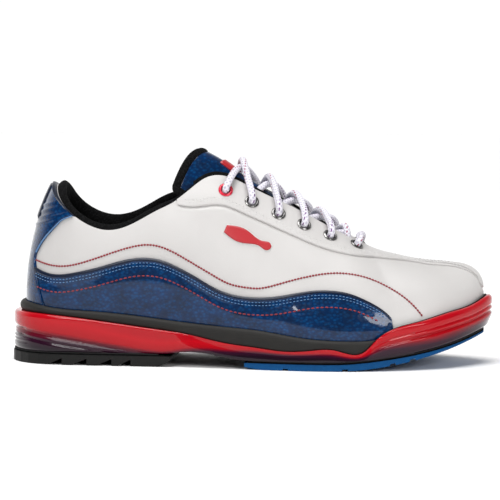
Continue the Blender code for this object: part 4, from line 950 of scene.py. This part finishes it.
def heel_overlay():
    t = np.linspace(LOW_EDGE, 0.995, 120)
    outer, inner = -overlay_edge(-1, t), overlay_edge(1, t)
    across = np.linspace(0, 1, 90) - 0.03 * np.sin(np.linspace(0, 4 * math.pi, 90))
    s = outer + (inner - outer) * across[:, None]
    points = rib(s, np.broadcast_to(t, s.shape))
    along = points[..., 2] - RIDGE_TILT * (points[..., 0] - 16)
    ridges = sum(groove(along, z, RIDGE_WIDTH) for z in HEEL_RIDGES)
    span = np.linalg.norm(rib(inner, t) - rib(outer, t), axis=-1) + 12
    distance = np.minimum(across, 1 - across)[:, None] * span
    outside = GAP + OVERLAY + RIDGE_HEIGHT * ridges * smooth(distance, 1.5, 4)
    outside = outside - rounded(distance, 1.1, 1.0)
    made = panel("heel_overlay_leather", s, t[None, :], outside, OVERLAY - 0.2, "blue")
    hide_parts("heel_overlay")


def heel_top_edge():
    """The heel overlay folded over the top edge of the upper."""
    end, half_thickness, half_height = 0.185, 1.75, 0.9
    s = np.linspace(-end, end, 90)
    top, normal, up = top_edge(s)
    thin = (1 - 0.9 * smooth(np.abs(s), 0.14, end))[:, None]
    centre = top - up * 0.3 + normal * (half_thickness * thin - 1.65)
    sections = ovals(centre, normal * half_thickness * thin, up * half_height * thin, 14)
    sweep("heel_top_edge", sections, "edge")


def heel_tab():
    half, low, high = 0.05, 0.70, 0.985
    s, t = np.linspace(-half, half, 24)[:, None], np.linspace(low, high, 40)[None, :]
    distance = np.minimum(np.minimum(s + half, half - s) * 320, np.minimum(t - low, high - t) * 85)
    outside = 2 * GAP + 2 * OVERLAY - 0.4 - rounded(distance, 0.9, 0.8)
    made = panel("heel_pull_tab", s, t, outside, OVERLAY - 0.3, "edge")
    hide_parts("heel_tab")


def mudguard(name, side):
    """The wave-shaped overlay along one side, with a folded top edge."""
    near_fold = np.linspace(0, 1, 12, endpoint=False)[::-1]
    shares = np.concatenate([np.linspace(0, 0.86, 26), 1 - near_fold ** 1.6 * 0.14])
    share_along, share_up = np.meshgrid(np.linspace(0, 1, 200), shares, indexing="ij")
    t = LOW_EDGE + 0.2 * share_up
    for _ in range(5):
        rear = overlay_edge(side, t) + 0.004
        along = rear + (MUDGUARD_END - rear) * share_along ** 1.35
        top = np.maximum(level(side * along, MUDGUARD_TOP), LOW_EDGE + 0.03)
        t = LOW_EDGE + (top - LOW_EDGE) * share_up
    s = side * along
    height = 1 / as_share(s, np.clip(t, 0.05, 0.9), 1.0)
    distance = (top - t) * height
    fold = 0.35 * smooth(distance, 1.6, 2.4)
    outside = GAP + OVERLAY + 0.1 - fold + 0.35 * smooth(distance, 6, 14) - rounded(distance, 1.0, 0.95)
    if side < 0:
        s, t, outside = s[::-1], t[::-1], outside[::-1]
    made = panel(f"{name}_leather", s, t, outside, OVERLAY - 0.2, "blue")
    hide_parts(name)


def edge_band(name, side):
    """The dark folded strip along the mudguard's top edge."""
    along = side * np.linspace(0.075, MUDGUARD_END - 0.003, 220)
    top = level(along, MUDGUARD_TOP)
    step = as_share(along, top, 1.0)
    t = top[:, None] + step[:, None] * np.array([0.15, -0.1, -0.8, -1.6, -1.9])
    out = GAP + OVERLAY + np.array([-0.3, 0.12, 0.42, 0.38, -0.1])
    if side < 0:
        along, t = along[::-1], t[::-1]
    panel(name, along[:, None], t[:, ::-1], out[::-1], 0.5, "edge")


# ---- collar and tongue

COLLAR_END = 0.455
LINING_DEPTH = LEATHER + 0.8 + 5.4 * GAP
SOCK_INSET = 5.3
SOCK_THICKNESS = 4.0
SOCK_TOP = 3 * GAP + 2.0 + 1.8 + SOCK_THICKNESS


# half thickness, half height and shown height of the stuffed roll, and how much less at its ends
ROLL_THICK, ROLL_THICK_FALL = 3.3, 2.3
ROLL_TALL, ROLL_TALL_FALL = 8.5, 6.7
ROLL_SHOWN, ROLL_SHOWN_FALL = 4.4, 2.3


def roll_size(s):
    """Half thickness and half height of the stuffed roll, and how much of it shows above the leather."""
    along = np.abs(s)
    thick = ROLL_THICK - ROLL_THICK_FALL * smooth(along, 0.26, 0.39)
    tall = ROLL_TALL - ROLL_TALL_FALL * smooth(along, 0.25, 0.39)
    shown = ROLL_SHOWN - ROLL_SHOWN_FALL * smooth(along, 0.3, 0.43)
    return thick, tall, shown


def collar_padding():
    """The stuffed roll round the ankle, thinning into the edge of the throat."""
    s = np.linspace(-COLLAR_END, COLLAR_END, 260)
    thick, tall, shown = roll_size(s)
    top, normal, up = top_edge(s)
    centre = top - normal * (LEATHER + 2 * GAP - 0.2 + thick)[:, None] + up * (shown - tall)[:, None]
    ripple = 1 + 0.012 * np.sin(s * 900)
    made = sweep("collar_roll",
                 ovals(centre, normal * (thick * ripple)[:, None], up * tall[:, None], 36), "textile")
    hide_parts("collar_padding")


def lining():
    """The cloth lining behind the leather, up to the stuffed roll."""
    s = round_stations(300)
    _, tall, shown = roll_size(s)
    under_roll = below_top(s, np.maximum(2 * tall - shown - 2, 1))
    top = np.where(np.abs(s) < EYESTAY_START - 0.002, under_roll, seam_level(s) - 0.03)
    t = rows_between(np.full_like(s, 0.04), top, np.linspace(0, 1, 24))
    made = panel("lining_cloth", s[:, None], t, -LINING_DEPTH, 1.0, "textile")
    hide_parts("lining")


def sock_liner():
    """The removable cushioned insole, with softly rounded edges."""
    s = round_stations(240)
    edge = EDGE(s) - edge_normal(s) * SOCK_INSET
    under, over = [], []
    for share in (0.0, 0.2, 0.4, 0.6, 0.75, 0.85, 0.92, 0.96, 0.98, 1.0):
        place = spine(s) + share * (edge - spine(s))
        low = floor(place[:, 0]) + SOCK_TOP - SOCK_THICKNESS
        swell = 0.5 * (1 - share) - rounded((1 - share) * 38, 2.2, 1.8)
        under.append(np.column_stack([place, low]))
        over.append(np.column_stack([place, low + SOCK_THICKNESS + swell]))
    made = cup("insole_cloth", under, over, "insole")
    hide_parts("sock_liner")


def throat_binding(name, side):
    """The thin dark edge of the lining that shows above each eyestay."""
    s = side * np.linspace(COLLAR_END - 0.03, 0.72, 110)
    top, normal, up = top_edge(s)
    shrink = (1 - smooth(np.abs(s), 0.52, 0.66) * 0.75)[:, None]
    centre = top - normal * 1.9 + up * (2.4 * shrink - 0.8)
    sections = ovals(centre, normal * 0.8, up * 2.0 * shrink, 12)[:, ::side]
    sweep(name, sections, "textile")


# x, z, half width, fall at the edges, lean back at the edges, and how square it is across
TONGUE = [(123, 134.5, 20.5, 25, 16, 3.2), (134, 128.7, 20.5, 26, 12, 2.6), (145, 121, 20, 26.5, 8, 2.1),
          (164, 109.0, 19.5, 26, 4, 2), (180, 98.8, 18.5, 25.5, 2, 2), (196, 88.6, 17.5, 24.5, 0, 2),
          (213, 77.5, 16, 20, -1, 2), (222, 71.4, 15.5, 16, -1, 2), (231, 67.3, 15, 11, -1, 2)]


def tongue_curve():
    """The tongue's rows by their share of the way from its top to its hinge."""
    rows = np.array(TONGUE, float)
    steps = distances(rows[:, :2])
    return Curve(steps / steps[-1], rows)


TONGUE_LINE = tongue_curve()
TONGUE_LENGTH = 120


def tongue_surface(v, w):
    """A point on the tongue's face: v from its top to the hinge, w across from -1 to 1."""
    x, z, half, fall, lean, square = np.moveaxis(TONGUE_LINE(v), -1, 0)
    across = np.abs(w)
    return np.stack([x - lean * across ** 1.6, half * w, z - fall * across ** square], axis=-1)


def tongue_point(v, w, out):
    along = tongue_surface(v + 1e-3, w) - tongue_surface(v - 1e-3, w)
    across = tongue_surface(v, w + 1e-3) - tongue_surface(v, w - 1e-3)
    out = np.broadcast_to(out, np.broadcast(v, w).shape)
    return tongue_surface(v, w) + unit(np.cross(along, across)) * out[..., None]


def tongue_layer(name, nodes, v, w, outside, thickness, look):
    """A sheet that follows the tongue over a grid of v and w, standing for some CAD nodes."""
    v, w = np.broadcast_arrays(v[:, None], w[None, :])
    outer, inner = tongue_point(v, w, outside), tongue_point(v, w, outside - thickness)
    points, faces, _ = thicken(outer, inner, [face[::-1] for face in grid_faces(*v.shape)])
    made = piece(name, points, faces, look, "tongue")
    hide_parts(*nodes)
    return made


def tongue():
    v, w = np.linspace(0.0, 0.985, 90), np.linspace(-1, 1, 70)
    edge = np.minimum(v[:, None] * TONGUE_LENGTH, (1 - np.abs(w))[None, :] * 24)
    tongue_layer("tongue_face", ["tongue_shell"], v, w, -rounded(edge, 1.5, 1.0), 1.1, "blue")
    top, half = -0.012, 0.97
    v, w = np.linspace(top, 0.9, 80), np.linspace(-half, half, 50)
    edge = np.minimum((v[:, None] - top) * TONGUE_LENGTH, (half - np.abs(w))[None, :] * 24)
    puff = 1.0 - rounded(np.minimum(edge, 6), 6, 0.85)
    pad = tongue_layer("tongue_pad", ["tongue_padding", "tongue_lining"], v, w, -1.35, 5.3 * puff,
                       "textile")
    binding()
    top, low, half = 0.11, 0.2, 0.3
    v, w = np.linspace(top, low, 14), np.linspace(-half, half, 20)
    distance = np.minimum(np.minimum(v - top, low - v)[:, None] * TONGUE_LENGTH,
                          np.minimum(w + half, half - w)[None, :] * 22)
    outside = GAP + 0.9 - rounded(distance, 0.7, 0.6)
    tongue_layer("tongue_badge", ["tongue_label"], v, w, outside, 0.8, "red")


def binding():
    """The dark tape stitched round the tongue's free edge."""
    corner, start = 0.03, 0.80
    bend = np.linspace(0, math.pi / 2, 6)
    path = [(v, -1.0) for v in np.linspace(start, corner, 60)]
    path += [(corner * (1 - math.sin(a)), -1.0 + corner * (1 - math.cos(a))) for a in bend]
    path += [(0.0, w) for w in np.linspace(-0.94, 0.94, 70)]
    path += [(corner * (1 - math.cos(a)), 1.0 - corner * (1 - math.sin(a))) for a in bend]
    path += [(v, 1.0) for v in np.linspace(corner, start, 60)]
    v, w = np.array(path).T
    centre = tongue_point(v, w, -0.6)
    ahead = unit(np.gradient(centre, axis=0))
    face = unit(tongue_point(v, w, 1.0) - tongue_point(v, w, 0.0))
    side = unit(np.cross(face, ahead))
    sweep("tongue_binding", ovals(centre, side * 2.8, face * 1.5, 14), "textile", "tongue")


# ---- eyelets

EYELETS = [(139.4, 110), (155.8, 102.9), (172.6, 95.5), (188.6, 88.6), (204.9, 81.7), (221.2, 75.8)]


def eyelet_frame(row, side):
    """Centre and outward normal of an eyelet; row 0 is the top one."""
    x, z = EYELETS[row]
    s, t = locate(side, x, z)
    return rib(s, t).reshape(3), outward(s, t).reshape(3)


def arc(centre, height, radius, start, end, count):
    """Points of a rounded edge, as (distance from the axis, height)."""
    return [(centre + radius * math.cos(a), height + radius * math.sin(a))
            for a in np.linspace(start * math.pi, end * math.pi, count)]


def eyelets():
    barrel, flange, turns = EYELET_HOLE_RADIUS, EYELET_RADIUS + 0.25, 48
    profile = [(barrel, -LEATHER), *arc(barrel + 0.75, 0.55, 0.75, 1, 0.25, 9),
               *arc(flange - 0.35, 0.62, 0.35, 0.5, -0.4, 6), (barrel + 0.4, 0.2), (barrel + 0.4, -LEATHER)]
    count = len(profile)
    faces = [(i * count + j, (i + 1) % turns * count + j, (i + 1) % turns * count + (j + 1) % count,
              i * count + (j + 1) % count) for i in range(turns) for j in range(count)]
    for side, name in SIDES:
        for row in range(len(EYELETS)):
            centre, normal = eyelet_frame(row, side)
            turn = Vector(normal).to_track_quat("Z", "Y").to_matrix()
            points = [np.array(turn @ Vector((r * math.cos(a), r * math.sin(a), h))) + centre
                      for a in circle(turns) for r, h in profile]
            made = piece(f"ring_{name}_{row + 1}", points, faces, "red_metal" if row == 0 else "nickel")
            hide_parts(f"eyelet_{name}_{row + 1}")


# ---- stitching

def stitches(name, line, pitch, length, radius, look):
    """Short rounded stitches along a line of points and normals on the surface."""
    centres, normals = line
    run = distances(centres)
    at = np.arange(pitch / 2, run[-1] - pitch / 2, pitch)
    centre = at_distances(centres, run, at)
    ahead = unit(at_distances(centres, run, at + 0.4) - centre)
    up = unit(at_distances(normals, run, at))
    side = np.cross(up, ahead)
    rings, columns, flatness = 6, 6, 0.8
    points, faces = [], []
    for k in range(len(at)):
        faces += tube_faces(rings, columns, len(points))
        for q in np.linspace(-1, 1, rings):
            girth = radius * math.sqrt(max(1 - abs(q) ** 3, 0.04))
            height = (0.25 - flatness * q * q) * radius
            points += [centre[k] + ahead[k] * q * length / 2 + side[k] * girth * math.cos(a)
                       + up[k] * (flatness * girth * math.sin(a) + height) for a in circle(columns)]
    return piece(name, points, faces, look)


RED_LINE = side_curve((18.2, 64.8), (35.7, 61.8), (51.3, 64.7), (66.6, 69.9), (81.8, 74.6), (91.8, 76),
                      (100, 74.8), (112.3, 69.6), (122.6, 63.9), (132.8, 58.2), (143.1, 53), (153.2, 50.8),
                      (163.3, 50.3), (172.5, 52.3), (183.8, 55.5), (195.2, 58.1), (206.6, 59.6),
                      (217.9, 59.2), (229.4, 56.6), (240.8, 51.6), (252.2, 44.8), (261.3, 36.2),
                      (265.3, 31))


def line_on_skin(side, start, end, line, shift, out):
    """Points and normals on the upper along a side_curve, shifted up the rib by a distance."""
    s = side * np.linspace(start, end, 260)
    t = level(s, line)
    t = np.clip(t + as_share(s, t, shift), 0, 1)
    points, normals = skin(s, t, np.full(s.shape, out)), outward(s, t)
    sole_edge = np.maximum(MIDSOLE_LIP(points[:, 0]), OUTSOLE_RIM(points[:, 0]))
    shown = points[:, 2] > sole_edge + 0.3
    return points[shown], normals[shown]


# pitch, length and half width of each kind of stitch
RED_PIPING, RED_STITCH = (1.9, 1.9, 0.6), (2.9, 2.2, 0.42)
BLUE_STITCH, WHITE_STITCH = (2.2, 1.5, 0.27), (2.3, 1.7, 0.3)
ON_BLUE = GAP + OVERLAY + 0.05
ON_EYESTAY = 0.62
# name, from |s|, to |s|, the edge followed, distance above it, height off the skin, stitch, look
SEAMS = [
    ("red_line_{}", 0.070, 0.85, RED_LINE, 0, 0.2, RED_PIPING, "red_thread"),
    ("blue_stitch_{}_1", 0.080, 0.765, MUDGUARD_TOP, -3.1, ON_BLUE, BLUE_STITCH, "blue_thread"),
    ("blue_stitch_{}_2", 0.080, 0.765, MUDGUARD_TOP, -5.0, ON_BLUE, BLUE_STITCH, "blue_thread"),
    ("red_stitch_{}", 0.085, 0.75, MUDGUARD_TOP, -11.0, ON_BLUE + 0.25, RED_STITCH, "red_thread"),
    ("white_stitch_{}_1", 0.40, 0.985, EYESTAY_SEAM, 3.0, ON_EYESTAY, WHITE_STITCH, "white_thread"),
    ("white_stitch_{}_2", 0.40, 0.985, EYESTAY_SEAM, 4.6, ON_EYESTAY, WHITE_STITCH, "white_thread"),
]


def stitching():
    for side, word in SIDES:
        for name, start, end, edge, above, out, stitch, look in SEAMS:
            stitches(name.format(word), line_on_skin(side, start, end, edge, above, out), *stitch, look)


# ---- emblem

PIN_LENGTH = 31.0
PIN_HALF_WIDTHS = Curve([0, 0.08, 0.3, 0.5, 0.66, 0.78, 0.88, 0.96, 1],
                        [2.3, 3.1, 4.4, 3.5, 2.0, 1.8, 2.5, 2.1, 0.9])
PIN_BASE = np.array([140.5, 86.5])
PIN_TILT = math.radians(-22)


def side_emblem():
    """A plain raised bowling pin with a pale rim."""
    tilt = np.array([math.cos(PIN_TILT), math.sin(PIN_TILT)])
    cross = np.array([-tilt[1], tilt[0]])
    for name, grow, look, out in (("emblem_rim", 0.7, "rim", 0.45), ("emblem_pin", 0.0, "red", 1.25)):
        share, across = np.linspace(0, 1, 70), np.linspace(-1, 1, 16)
        half = PIN_HALF_WIDTHS(share) + grow
        run = -grow + (PIN_LENGTH + 2 * grow) * share
        seen = (PIN_BASE + run[:, None, None] * tilt + (half[:, None] * across)[..., None] * cross)
        s, t = locate(-1, seen[..., 0], seen[..., 1])
        distance = np.minimum((1 - np.abs(across)) * half[:, None],
                              np.minimum(share, 1 - share)[:, None] * PIN_LENGTH)
        outside = out - rounded(distance, 0.8, 0.6)
        made = panel(name, s[:, ::-1], t[:, ::-1], outside[:, ::-1], out + 0.08, look)
        if name == "emblem_pin":
            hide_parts("side_emblem")


# ---- lace

LACE_CLEAR = LACE_RADIUS + 1.0
LOW_CROSSING, HIGH_CROSSING = 0.7, 2 * LACE_RADIUS + 0.8  # above the tongue
TONGUE_SLOPE = math.radians(30)
EYELET_LIFT = GAP + 1.8


def crown(x):
    """Height of the middle of the tongue at x."""
    points = tongue_surface(np.linspace(0, 1, 200), np.zeros(200))
    return float(np.interp(x, points[:, 0], points[:, 2]))


def through(row, side, out):
    """The way through an eyelet: outwards when out is 1, inwards when it is -1."""
    centre, normal = eyelet_frame(row, side)
    return [centre + normal * out * h for h in (-2.3, 0.0, 2.3)]


def throat_edge(x, side):
    """The top edge of the eyestay at x."""
    s = side * np.linspace(EYESTAY_START, THROAT_BASE, 120)
    top = rib(s, 1.0)
    i = np.abs(top[:, 0] - x).argmin()
    return top[i], outward(s[i], 0.97).reshape(3)


def over_edge(row, side, toward_x, outside):
    """Points beside an eyelet and at the throat edge, over the eyestay or under it."""
    centre, normal = eyelet_frame(row, side)
    x = centre[0] + 0.35 * (toward_x - centre[0])
    edge, lift = throat_edge(x, side)
    offset = LACE_CLEAR if outside else -LEATHER - LACE_CLEAR
    step = unit(edge - centre) * 3.2
    beside = centre + step + normal * (EYELET_LIFT + LACE_RADIUS if outside else -LEATHER - LACE_CLEAR)
    return [beside, edge + lift * offset]


def crossing(row_a, side_a, outside_a, row_b, side_b, outside_b, upper):
    """One strand from an eyelet over the tongue to an eyelet on the other side."""
    middle = (EYELETS[row_a][0] + EYELETS[row_b][0]) / 2
    height = crown(middle) + LACE_CLEAR / math.cos(TONGUE_SLOPE)
    height += HIGH_CROSSING if upper else LOW_CROSSING
    leave = over_edge(row_a, side_a, middle, outside_a)
    arrive = over_edge(row_b, side_b, middle, outside_b)
    return leave + [np.array([middle, 0.0, height])] + arrive[::-1]


def tail(side):
    """The loose end of the lace, tucked in beside the tongue and laid forwards on the sock liner."""
    x, z = np.array([(147, 98), (153, 84), (158, 68), (165, 50)], float).T
    s, t = locate(side, x, z)
    down = skin(s, t, np.full(s.shape, -INSIDE - 8 * GAP - LACE_CLEAR))
    x, y = np.array([(182, 33), (203, 34), (226, 31), (246, 25), (262, 19)], float).T
    laid = np.column_stack([x, side * y, floor(x) + SOCK_TOP + LACE_RADIUS + 1.6])
    return list(down) + list(laid)


# for each eyelet on the way: its row, whether the lace leaves the last one and comes to this one over
# the eyestay, whether the strand crosses on top, and whether it goes through outwards (1) or inwards
WAY_DOWN = [(1, True, True, False, -1), (2, False, True, True, -1), (3, False, True, False, -1),
            (4, False, True, True, -1), (5, False, False, False, 1)]
WAY_UP = [(4, False, False, True, 1), (3, True, False, False, 1), (2, True, False, True, 1),
          (1, True, False, False, 1), (0, True, True, True, -1)]


def zigzag(row, side, way):
    """The lace from an eyelet to and fro between the sides."""
    route = []
    for next_row, leaves, arrives, upper, out in way:
        route += crossing(row, side, leaves, next_row, -side, arrives, upper)
        route += through(next_row, -side, out)
        row, side = next_row, -side
    return route


def lace_route():
    outer, inner, last = -1, 1, len(EYELETS) - 1
    low_x = EYELETS[last][0]
    route = tail(outer)[::-1] + through(0, outer, 1) + zigzag(0, outer, WAY_DOWN)
    route += over_edge(last, inner, low_x, True) + over_edge(last, outer, low_x, True)[::-1]
    return np.array(route + through(last, outer, -1) + zigzag(last, outer, WAY_UP) + tail(inner))


def lace():
    """A round braided lace along its whole route."""
    route, around, evenness, samples = lace_route(), 16, 0.7, 9000
    steps = np.concatenate([[0], np.cumsum(np.diff(distances(route)) ** evenness)])
    line = Curve(steps, route)(np.linspace(0, steps[-1], samples))
    run = distances(line)
    at = np.linspace(0, run[-1], int(run[-1]))
    centre = at_distances(line, run, at)
    ahead = unit(np.gradient(centre, axis=0))
    side = np.cross(ahead[0], (0, 0, 1.0))
    sides = []
    for direction in ahead:
        side = unit(side - direction * (side @ direction))
        sides.append(side)
    sides = np.array(sides)
    facts = {"along": np.repeat(at, around), "turn": np.tile(np.arange(around) / around, len(at))}
    rings = ovals(centre, LACE_RADIUS * sides, LACE_RADIUS * np.cross(ahead, sides), around)
    made = sweep("lace_braid", rings, "lace", attributes=facts)
    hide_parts("lace")


# ---- floor, light and camera

def stage_floor():
    mesh = bpy.data.meshes.new("studio_floor")
    reach_m = 6.0
    mesh.from_pydata([(x * reach_m, y * reach_m, 0) for x, y in ((-1, -1), (1, -1), (1, 1), (-1, 1))],
                     [], [(0, 1, 2, 3)])
    look = bpy.data.materials.new("studio_floor")
    look.use_nodes = True
    shader = look.node_tree.nodes["Principled BSDF"]
    shader.inputs["Base Color"].default_value = (0.93, 0.93, 0.93, 1)
    shader.inputs["Roughness"].default_value = 1.0
    mesh.materials.append(look)
    new_object("studio_floor", mesh)


def area_light(name, place, target, size, power):
    light = bpy.data.lights.new(name, "AREA")
    light.shape, light.size, light.size_y, light.energy = "RECTANGLE", *size, power
    made = new_object(name, light)
    made.location = place
    made.rotation_euler = (Vector(target) - Vector(place)).to_track_quat("-Z", "Y").to_euler()


def sun(name, toward, strength, spread):
    light = bpy.data.lights.new(name, "SUN")
    light.energy, light.angle = strength, math.radians(spread)
    new_object(name, light).rotation_euler = Vector(toward).to_track_quat("-Z", "Y").to_euler()


def studio_world():
    """Bright behind and above the shoe, dim in front of it."""
    world = bpy.data.worlds.new("studio")
    world.use_nodes = True
    tree = world.node_tree
    parts = tree.nodes.new("ShaderNodeSeparateXYZ")
    tree.links.new(tree.nodes.new("ShaderNodeTexCoord").outputs["Generated"], parts.inputs["Vector"])
    both = tree.nodes.new("ShaderNodeMath")
    both.operation = "MULTIPLY_ADD"
    both.inputs[2].default_value = 0.1
    for slot, (axis, ends) in enumerate((("Y", (-0.1, 0.45, 0.0, 1.0)), ("Z", (0.3, 0.65, 0.94, 0.22)))):
        ramp = tree.nodes.new("ShaderNodeMapRange")
        for end, value in zip(("From Min", "From Max", "To Min", "To Max"), ends):
            ramp.inputs[end].default_value = value
        tree.links.new(parts.outputs[axis], ramp.inputs["Value"])
        tree.links.new(ramp.outputs["Result"], both.inputs[slot])
    tree.links.new(both.outputs["Value"], tree.nodes["Background"].inputs["Strength"])
    tree.nodes["Background"].inputs["Color"].default_value = (1, 1, 1, 1)
    bpy.context.scene.world = world
    bpy.context.scene.view_settings.view_transform = "Standard"


def lights():
    studio_world()
    sun("overhead", (0.1, 0.22, -1), 2.75, 40)
    area_light("key", (-0.5, -1.2, 0.95), (0, 0, 0.05), (0.5, 0.3), 6.5)
    area_light("front", (0.75, -1.0, 0.5), (0.08, 0, 0.04), (0.45, 0.3), 4.5)
    area_light("strip", (-0.35, -1.0, 0.42), (-0.08, 0, 0.03), (0.4, 0.03), 0.8)


AZIMUTH, ELEVATION, ROLL = 6.0, 4.5, 0.15
DISTANCE = 1.6
SENSOR = 36
TARGET = Vector((0, 0.001, 0.058))
SHIFT = -0.0004, 0.0404
LENS = 1.568 * DISTANCE / MM / 500 * SENSOR


def camera():
    data = bpy.data.cameras.new("camera")
    made = new_object("camera", data)
    a, e = math.radians(AZIMUTH), math.radians(ELEVATION)
    back = Vector((math.sin(a) * math.cos(e), -math.cos(a) * math.cos(e), math.sin(e)))
    right = Vector((math.cos(a), math.sin(a), 0))
    up = back.cross(right)
    turn = Matrix((right, up, back)).transposed() @ Matrix.Rotation(math.radians(ROLL), 3, "Z")
    made.matrix_world = Matrix.Translation(TARGET + back * DISTANCE) @ turn.to_4x4()
    data.sensor_width, data.lens = SENSOR, LENS
    data.shift_x, data.shift_y = SHIFT
    data.clip_end = 20
    bpy.context.scene.camera = made


for make in (camera, lights, stage_floor, dress_cad_nodes, tpu_outsole, eva_midsole, upper_wall, vamp,
             heel_overlay, heel_top_edge, heel_tab):
    make()
for side, word in SIDES:
    mudguard(f"mudguard_{word}", side)
    edge_band(f"mudguard_edge_{word}", side)
    overlay_piping(f"heel_piping_{word}", side)
    throat_binding(f"throat_binding_{word}", side)
for make in (collar_padding, lining, sock_liner, tongue, eyelets, stitching, side_emblem, lace):
    make()
